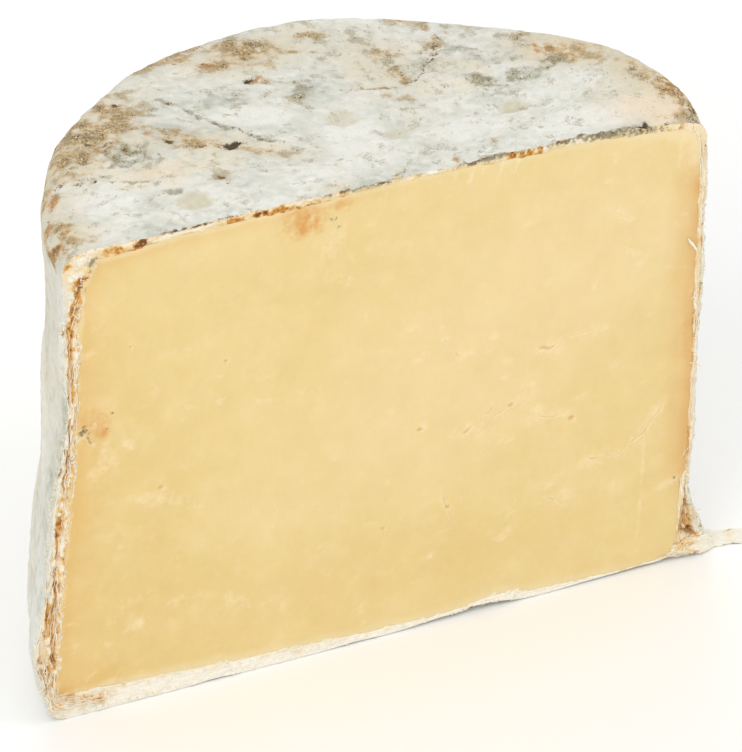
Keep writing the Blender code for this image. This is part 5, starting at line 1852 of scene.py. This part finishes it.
def finish_tree(group, named, target, geometry):
    """Ends a tree with smooth shading, Realize Instances and Set Material."""
    smooth = add_node(group, "GeometryNodeSetShadeSmooth", {"Geometry": geometry}).outputs[0]
    real = add_node(group, "GeometryNodeRealizeInstances", {"Geometry": smooth}).outputs[0]
    painting = {"Geometry": real, "Material": named["Material"]}
    painted = add_node(group, "GeometryNodeSetMaterial", painting).outputs[0]
    group.links.new(painted, target.inputs[0])
    return group


def strand_tree():
    group, named, target = node_group("strands", "Radius", "Step", "Wander", "Wave")
    curve = add_node(group, "GeometryNodeMeshToCurve", {"Mesh": named["Geometry"]}).outputs[0]
    stepping = {"Curve": curve, "Length": named["Step"]}
    fine = add_node(group, "GeometryNodeResampleCurve", stepping, mode="LENGTH").outputs[0]
    thick = painted_number(group, "thick")
    own = math_node(group, "ADD", math_node(group, "MULTIPLY", thick, VARIETY), named["Seed"])
    place = add_node(group, "GeometryNodeInputPosition").outputs[0]
    pitch = math_node(group, "DIVIDE", 1.0, named["Wave"])
    shaking = {"Vector": place, "W": own, "Scale": pitch, "Detail": 2.0}
    waves = add_node(group, "ShaderNodeTexNoise", shaking, noise_dimensions="4D")
    shaken = pushed(group, fine, waves, named["Wander"])
    along = add_node(group, "GeometryNodeSplineParameter").outputs["Factor"]
    from_middle = math_node(group, "ABSOLUTE", math_node(group, "MULTIPLY_ADD", along, 2.0, -1.0))
    taper = math_node(group, "SUBTRACT", 1.1, math_node(group, "POWER", from_middle, 3.0))
    radius = math_node(group, "MULTIPLY", taper, math_node(group, "MULTIPLY", thick, named["Radius"]))
    circle = {"Resolution": STRAND_SIDES, "Radius": 1.0}
    ring = add_node(group, "GeometryNodeCurvePrimitiveCircle", circle).outputs[0]
    sweeping = {"Curve": shaken, "Profile Curve": ring, "Scale": radius, "Fill Caps": True}
    tube = add_node(group, "GeometryNodeCurveToMesh", sweeping).outputs[0]
    return finish_tree(group, named, target, tube)


def grown(name, carrier, group, material, **numbers):
    """The plain mesh that a tree makes from a carrier mesh and its named inputs."""
    holder = bpy.data.objects.new(name, carrier)
    bpy.context.scene.collection.objects.link(holder)
    modifier = holder.modifiers.new(name, "NODES")
    modifier.node_group = group
    named = {item.name: item.identifier for item in group.interface.items_tree if item.in_out == "INPUT"}
    modifier[named["Material"]] = material
    for label, value in numbers.items():
        modifier[named[label]] = value
    graph = bpy.context.evaluated_depsgraph_get()
    mesh = bpy.data.meshes.new_from_object(holder.evaluated_get(graph))
    bpy.data.objects.remove(holder)
    points = mesh_points(mesh)
    points[:, 2] = np.maximum(points[:, 2], 0.0)
    move_points(mesh, points)
    return mesh


# %% Paths of the threads
THREAD_LANES = (
    # side, from and to as shares of its rows, least and most share across, count, length, lift, tan
    ("left", 0.1, 0.98, 0.04, 0.2, 22, (0.006, 0.03), 0.0004, 0.1),
    ("left", 0.08, 0.98, 0.2, 0.92, 100, (0.006, 0.036), 0.0004, 0.4),
    ("left", 0.8, 1.0, 0.05, 0.95, 46, (0.004, 0.02), 0.0007, 0.25),
    ("right", 0.02, 0.9, 0.05, 0.85, 46, (0.004, 0.03), 0.0003, 0.2),
    ("right", 0.8, 1.0, 0.05, 0.95, 16, (0.003, 0.014), 0.0006, 0.2),
)
SIDE_ROWS = {
    "left": np.flatnonzero((outer_key < -SIDE_START + 0.012) & (outer_key > -BASE_START - 0.01)),
    "right": np.flatnonzero((outer_key > SIDE_START - 0.012) & (outer_key < BASE_START + 0.004)),
}
THREAD_STEP = 3
draw = np.random.default_rng(71)


def on_section(row, share):
    """Points of the section's front at broken rows and shares across, by straight interpolation."""
    row = np.clip(row, 0, rows - 1.001)
    column = np.clip(share, 0, 1) * (ACROSS - 1)
    low_row, low_column = row.astype(int), np.minimum(column.astype(int), ACROSS - 2)
    to_row, to_column = (row - low_row)[:, None], (column - low_column)[:, None]
    near = front[low_row, low_column] * (1 - to_column) + front[low_row, low_column + 1] * to_column
    next_row = np.minimum(low_row + 1, rows - 1)
    far = front[next_row, low_column] * (1 - to_column) + front[next_row, low_column + 1] * to_column
    return near * (1 - to_row) + far * to_row


class PathMesh:
    """Collects paths, each with a thickness, a ground colour and a tan share, into a mesh of edges."""

    def __init__(self):
        self.points, self.edges, self.thick, self.ground, self.tan = [], [], [], [], []

    def add(self, line, thick, ground, tan):
        start = len(self.points)
        self.points += line.tolist()
        self.edges += [(start + k, start + k + 1) for k in range(len(line) - 1)]
        self.thick += [thick] * len(line)
        self.ground += [ground] * len(line)
        self.tan += [tan] * len(line)

    def mesh(self, name):
        made = new_mesh(name, np.array(self.points), edges=self.edges)
        store(made, thick=np.array(self.thick), ground=np.array(self.ground), tan=np.array(self.tan))
        return made


threads = PathMesh()
for side, low, high, least, greatest, count, (short, long), lift, tan in THREAD_LANES:
    lane_rows = SIDE_ROWS[side] if side == "right" else SIDE_ROWS[side][::-1]
    for _ in range(count):
        length = draw.uniform(short, long)
        steps_long = max(4, int(length / SECTION_STEP / THREAD_STEP))
        first = draw.uniform(low, high) * len(lane_rows)
        onward = np.sign(lane_rows[-1] - lane_rows[0])
        row_at = lane_rows[0] + (first + THREAD_STEP * np.arange(steps_long)) * onward
        row_at = np.clip(row_at, min(lane_rows[0], lane_rows[-1]), max(lane_rows[0], lane_rows[-1]))
        if np.ptp(row_at) < 4 * THREAD_STEP:
            continue
        start_share = draw.uniform(least, greatest)
        share_at = start_share + np.cumsum(draw.normal(0, 0.012, steps_long))
        share_at = share_at + draw.normal(0, 0.04) * np.linspace(0, 1, steps_long)
        line = on_section(row_at, np.clip(share_at, 0.02, 0.97))
        bow = np.sin(np.linspace(0, math.pi, steps_long))
        line[:, 1] -= 0.00012 + bow * draw.uniform(0, 1) * lift
        tone = CLOTH_WHITE + (CREAM - CLOTH_WHITE) * draw.uniform(0, 0.7)
        threads.add(line, draw.uniform(0.5, 1.2), tone, draw.uniform(0, tan))
print("threads:", len(set(threads.thick)), "paths")

# %% A torn strip of cloth on the paste and loose hairs
TORN_STRIP = ((0.1612, 0.1885), (0.1628, 0.1862), (0.1646, 0.1838), (0.1664, 0.1806))
strip = np.array(TORN_STRIP)
for number in range(9):
    at = np.linspace(0, 1, 12)
    line = np.column_stack([np.interp(at, np.linspace(0, 1, 4), strip[:, 0]), -0.0006 + 0 * at,
                            np.interp(at, np.linspace(0, 1, 4), strip[:, 1])])
    line += draw.normal(0, 0.00035, 3) * (1, 0.6, 1) + draw.normal(0, 0.0001, line.shape)
    threads.add(line, draw.uniform(0.7, 1.3), CLOTH_WHITE, 0.0)
print("torn strip:", number + 1, "threads")

HAIRS = (
    # at x, z, spread x, spread z, way x, z, spread of the way, count, shortest and longest
    (-0.1835, 0.03, 0.003, 0.016, -0.6, -0.6, 0.5, 30, 0.0018, 0.0045),
    (-0.1815, 0.01, 0.003, 0.005, -0.4, -0.8, 0.6, 16, 0.0016, 0.004),
    (-0.164, 0.235, 0.0022, 0.012, -0.2, -0.9, 0.8, 14, 0.002, 0.005),
    (0.1676, 0.2, 0.0008, 0.03, 0.7, -0.4, 0.7, 26, 0.0014, 0.0034),
    (0.1666, 0.12, 0.0008, 0.05, 0.8, -0.2, 0.8, 38, 0.0012, 0.0034),
    (0.164, 0.06, 0.001, 0.013, 0.8, -0.5, 0.8, 22, 0.0014, 0.0036),
    (0.1688, 0.026, 0.0012, 0.01, 0.9, -0.3, 0.7, 24, 0.0014, 0.0036),
    (0.165, 0.008, 0.005, 0.004, 0.6, -0.4, 0.9, 30, 0.002, 0.005),
    (-0.135, 0.003, 0.04, 0.0014, 0.1, -0.9, 0.6, 34, 0.0012, 0.003),
    (0.055, 0.004, 0.012, 0.0014, 0.3, 0.7, 0.9, 16, 0.001, 0.0026),
)
left_side = outer_line[SIDE_ROWS["left"]]
left_side = left_side[np.argsort(left_side[:, 1])]
for at_x, at_z, spread_x, spread_z, way_x, way_z, loose, count, short, long in HAIRS:
    for _ in range(count):
        start = np.array([draw.normal(at_x, spread_x / 2), -0.0004, draw.normal(at_z, spread_z / 2)])
        start[2] = max(start[2], 0.0008)
        start[0] = max(start[0], np.interp(start[2], left_side[:, 1], left_side[:, 0]) + 0.0006)
        way = np.array([way_x, -0.35, way_z]) + draw.normal(0, loose, 3) * (1, 0.4, 1)
        way /= np.linalg.norm(way)
        bend = draw.normal(0, 0.45, 3) * (1, 0.3, 1)
        far = np.linspace(0, draw.uniform(short, long), 8)[:, None]
        line = start + way * far + bend * far**2 / long
        line[:, 2] = np.maximum(line[:, 2], 0.0004)
        tone = CLOTH_WHITE + (CREAM - CLOTH_WHITE) * draw.uniform(0, 1)
        threads.add(line, draw.uniform(0.45, 0.9), tone, 0.0)

strands = strand_tree()
thread_mesh = grown("cloth_threads", threads.mesh("paths"), strands, section_material,
                    Radius=0.0003, Step=0.0009, Wander=0.0022, Wave=0.005, Seed=5)
cloth_threads = finish_piece("cloth_threads", thread_mesh, section_material)

# %% [markdown]
# Grains on the rind and crumbs on the paste
#
# Specks of dark mould, flecks of white mould and crumbs of torn curd repeat by the hundred over a
# surface, denser where the stains are strong. A second tree scatters one small lump over a carrier mesh
# by a painted density. Each lump is turned and sized by chance, and a noise dents each of them in another
# way.

# %% Node tree that scatters lumps
DENT_SCALE = 900.0
LUMP_INPUTS = ("Density", "Smallest", "Largest", "Flatness", "Dents", "Seed")


def chance(group, kind, least, greatest, seed):
    """A number or a vector drawn for each lump between two limits."""
    first, last = (0, 1) if kind == "FLOAT_VECTOR" else (2, 3)
    limits = {first: least, last: greatest, "Seed": seed}
    return add_node(group, "FunctionNodeRandomValue", limits, data_type=kind)


def scatter_tree(name, rounds):
    """A tree that scatters dented lumps over a mesh. More rounds make each lump rounder."""
    group, named, target = node_group(name, "Density", "Smallest", "Largest", "Flatness", "Dents")
    density = math_node(group, "MULTIPLY", painted_number(group, "amount"), named["Density"])
    spreading = {"Mesh": named["Geometry"], "Density": density, "Seed": named["Seed"]}
    spread = add_node(group, "GeometryNodeDistributePointsOnFaces", spreading).outputs
    ball = add_node(group, "GeometryNodeMeshIcoSphere", {"Radius": 1.0, "Subdivisions": rounds})
    size = chance(group, "FLOAT", named["Smallest"], named["Largest"], named["Seed"]).outputs[1]
    long = chance(group, "FLOAT", 0.55, 1.5, 11).outputs[1]
    shape = add_node(group, "ShaderNodeCombineXYZ", {"X": long, "Y": 1.0, "Z": named["Flatness"]}).outputs[0]
    scale = vector_node(group, "SCALE", {0: shape, 3: size})
    spin = chance(group, "FLOAT_VECTOR", (0.0, 0.0, 0.0), (0.5, 0.5, 2 * math.pi), 23).outputs[0]
    turning = {"Rotation": spread["Rotation"], "Rotate By": spin}
    turn = add_node(group, "FunctionNodeRotateRotation", turning, rotation_space="LOCAL").outputs[0]
    placing = {"Points": spread["Points"], "Instance": ball.outputs["Mesh"], "Rotation": turn, "Scale": scale}
    lumps = add_node(group, "GeometryNodeInstanceOnPoints", placing).outputs[0]
    real = add_node(group, "GeometryNodeRealizeInstances", {"Geometry": lumps}).outputs[0]
    place = add_node(group, "GeometryNodeInputPosition").outputs[0]
    dents = add_node(group, "ShaderNodeTexNoise", {"Vector": place, "Scale": DENT_SCALE, "Detail": 2.0})
    return finish_tree(group, named, target, pushed(group, real, dents, named["Dents"]))


def lump_piece(name, carrier, faces, amount, group, material, numbers):
    """A piece of lumps scattered over a mesh by a painted amount. The numbers are those of LUMP_INPUTS."""
    carrier_name, points = carrier
    mesh = new_mesh(carrier_name, points, faces)
    store(mesh, amount=np.clip(amount, 0, 1))
    lumps = grown(name, mesh, group, material, **dict(zip(LUMP_INPUTS, numbers)))
    return finish_piece(name, lumps, material)


def lump_material(name, roughness, *tones):
    """Three tones that change from lump to lump and a little within each."""
    material, tree, shader = new_material(name, roughness, 0.15)
    place = object_place(tree)
    patchy = noise_of(tree, place, 420.0, 2.0, 0.5)
    fine = noise_of(tree, place, 1500.0, 3.0, 0.7)
    first, second, third = (linear(*tone) for tone in tones)
    colour = mixed(tree, patchy, first, second)
    colour = mixed(tree, math_node(tree, "MULTIPLY", fine, 0.5), colour, third)
    tree.links.new(colour, shader.inputs["Base Color"])
    return material


fine_lumps = scatter_tree("fine_lumps", 1)
round_lumps = scatter_tree("round_lumps", 2)
grain_material = lump_material("dark_grain", 0.9, (112, 86, 54), (78, 60, 40), (140, 114, 78))
fleck_material = lump_material("white_mould", 0.95, (240, 238, 228), (226, 222, 206), (246, 244, 238))
tuft_material = lump_material("mould_tuft", 0.95, (226, 222, 206), (206, 198, 176), (240, 236, 222))
crumb_material = lump_material("curd_crumb", 0.6, (248, 232, 196), (244, 222, 176), (250, 240, 214))

# %% Dark grains and white flecks on the top
# The numbers: lumps per square metre, smallest and largest radius, flatness, reach of the dents, seed
top_small = cloud(top_points, 0.004, 81, 3)
top_large = cloud(top_points, 0.012, 83, 3)
grain_amount = ease(1.1 * top_dark + 0.55 * top_tan + 0.55 * top_moss + 0.45 * top_small, 0.4, 1.1)
dark_grains = lump_piece(
    "dark_grains", ("grain_carrier", top_points), top_faces, grain_amount, fine_lumps, grain_material,
    (900000.0, 0.00012, 0.00042, 0.5, 0.0003, 3),
)
fleck_amount = ease(0.7 * top_tan + 0.5 * top_moss + 0.6 * top_small + 0.4 * top_large, 0.35, 1.1)
white_flecks = lump_piece(
    "white_flecks", ("fleck_carrier", top_points), top_faces, fleck_amount, fine_lumps, fleck_material,
    (110000.0, 0.00015, 0.00045, 0.4, 0.0004, 4),
)

# %% Tufts of mould along the torn edges
torn = hump(side_points[:, 1], 0.0022) * (side_points[:, 2] > 0.002)
tuft_amount = torn * ease(cloud(side_points, 0.008, 84, 3), -0.3, 0.5)
edge_tufts = lump_piece(
    "edge_tufts", ("tuft_carrier", side_points), side_faces, tuft_amount, round_lumps, tuft_material,
    (1500000.0, 0.00025, 0.00085, 0.8, 0.0009, 8),
)

# %% Lumps on the cut rind along the base, at the frayed corner and on the thin right strip
grainy = clumps + 0.5 * fine
lump_amount = most(
    0.55 * on_base * ease(clumps + 0.3 * fine, 0.0, 0.6) * ease(share, 1.0, 0.85),
    on_right * ease(share, 0.5, 0.1) * ease(clumps, -0.3, 0.4),
    0.7 * on_left * ease(grainy, 0.0, 0.5) * ease(share, 0.3, 0.05),
    0.6 * on_left * ease(grainy, 0.0, 0.5) * ease(share, 0.7, 0.9),
    left_corner * ease(grainy, -0.2, 0.4),
    0.8 * (sx < -0.15) * ease(sz, 0.04, 0.02) * ease(fine, -0.2, 0.3),
)
section_front = ("lump_carrier", front.reshape(-1, 3))
section_lumps = lump_piece(
    "section_lumps", section_front, grid_faces(rows, ACROSS), lump_amount, round_lumps, fleck_material,
    (700000.0, 0.0002, 0.0006, 0.6, 0.0006, 9),
)

# %% Crumbs of curd
crumb_amount = ease(pale, 0.4, 0.9) * ease(inside_by, 0.003, 0.006)
crumb_faces = [tuple(face.vertices) for face in paste_mesh.polygons if max(face.vertices) < len(px)]
curd_crumbs = lump_piece(
    "curd_crumbs", ("crumb_carrier", paste_points), crumb_faces, crumb_amount, fine_lumps, crumb_material,
    (500000.0, 0.0001, 0.00038, 0.5, 0.0003, 6),
)

# %% [markdown]
# The flap at the foot
#
# Below the gap, a fold of cloth lies in front of the torn section and runs on into the loose tail. It is
# a thin sheet with a few creases along it, so it is a grid with two faces and a closed rim, laid against
# the section.

# %% Flap
FLAP_LINE = (
    # x, height of the lower edge, height of the upper edge, y of the upper edge, y of the lower edge
    (0.1572, 0.0056, 0.007, 0.0006, 0.0002), (0.16, 0.0046, 0.0104, -0.0004, -0.0008),
    (0.164, 0.0036, 0.0118, -0.0008, -0.0014), (0.169, 0.0022, 0.0128, -0.0008, -0.0016),
    (0.174, 0.0008, 0.012, -0.0002, -0.0012), (0.179, 0.0002, 0.009, 0.0018, 0.0002),
    (0.183, 0.0002, 0.005, 0.0034, 0.002),
)
FLAP_CELLS = (150, 70)
FLAP_THICK = 0.0009

flap = np.array(FLAP_LINE)
flap_x = np.repeat(np.linspace(flap[0, 0], flap[-1, 0], FLAP_CELLS[0]), FLAP_CELLS[1])
up = np.tile(np.linspace(0, 1, FLAP_CELLS[1]), FLAP_CELLS[0])
lower_z, upper_z, upper_y, lower_y = (np.interp(flap_x, flap[:, 0], flap[:, k]) for k in (1, 2, 3, 4))
flat_flap = np.column_stack([flap_x, 0 * flap_x, up * 0.012])
flap_rough = cloud(flat_flap * (0.35, 1, 1), 0.003, 91, 3)
flap_lump = cloud(flat_flap, 0.005, 92, 3)
ragged = 1 + 0.14 * cloud(flat_flap * (1, 1, 0), 0.003, 93, 3) * up
flap_z = np.maximum(lower_z + up * (upper_z - lower_z) * ragged, 0.0002)
flap_y = lower_y + (upper_y - lower_y) * up**1.6 - 0.0006 * np.abs(flap_rough)
flap_y -= 0.0005 * np.sin(up * 9 + 2 * flap_lump)
taper = ease(flap_x, flap[0, 0], flap[0, 0] + 0.004) * ease(flap_x, flap[-1, 0], flap[-1, 0] - 0.003)
outer = np.column_stack([flap_x, flap_y, flap_z])
thickness = FLAP_THICK * (0.15 + 0.85 * taper * np.sqrt(1 - up**6 * 0.95))
inner = outer + np.column_stack([0 * flap_x, thickness, 0 * flap_x])
cells = FLAP_CELLS[0] * FLAP_CELLS[1]
front_faces = grid_faces(*FLAP_CELLS)
back_faces = [tuple(cells + corner for corner in face[::-1]) for face in front_faces]
rim = list(range(FLAP_CELLS[1]))
rim += [row * FLAP_CELLS[1] + FLAP_CELLS[1] - 1 for row in range(1, FLAP_CELLS[0])]
rim += list(range(cells - 2, cells - FLAP_CELLS[1] - 1, -1))
rim += [row * FLAP_CELLS[1] for row in range(FLAP_CELLS[0] - 2, 0, -1)]
rim_faces = [(one, other, cells + other, cells + one) for one, other in zip(rim, rim[1:] + rim[:1])]
flap_mesh = new_mesh("foot_flap", np.concatenate([outer, inner]), front_faces + back_faces + rim_faces)
twice = np.tile(np.arange(cells), 2)
toward_paste = ease(flap_x, 0.176, 0.166)
creamy = (0.3 + 0.7 * toward_paste) * ease(flap_lump + 0.4 * flap_rough, -0.4, 0.5)
orange_fold = hump(up - 0.9 - 0.06 * flap_lump, 0.09) * ease(flap_x, 0.176, 0.168) * (0.5 + flap_rough)
flap_stain = patch(flap_x / 0.02, up, 0.9 * flap_lump, (8.56, 0.1), (0.16, 0.12))
store(
    flap_mesh,
    ground=tinted(np.tile(TAIL_CREAM, (cells, 1)), (CREAM, creamy))[twice],
    tan=np.clip(0.8 * orange_fold + 0.6 * toward_paste * ease(flap_rough, 0.0, 0.5), 0, 1)[twice],
    rust=np.maximum(0.4 * orange_fold * ease(flap_lump, 0.0, 0.4), 0.45 * flap_stain)[twice],
    moss=(0.4 * ease(up, 0.12, 0.0) * ease(flap_lump, 0.0, 0.4))[twice],
    dark=(0.3 * ease(flap_rough + flap_lump, 0.7, 1.1))[twice],
)
turn_out(flap_mesh)
foot_flap = finish_piece("foot_flap", flap_mesh, section_material)

# %% [markdown]
# Replace the imported solid
#
# All pieces together stand for the one solid, which is hidden.

# %% Replace
pieces = (
    rind_top, rind_side, rind_section, paste, loose_tail, foot_flap, cloth_threads, dark_grains,
    white_flecks, edge_tufts, section_lumps, curd_crumbs,
)
for piece in pieces:
    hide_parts("cheddar_half")
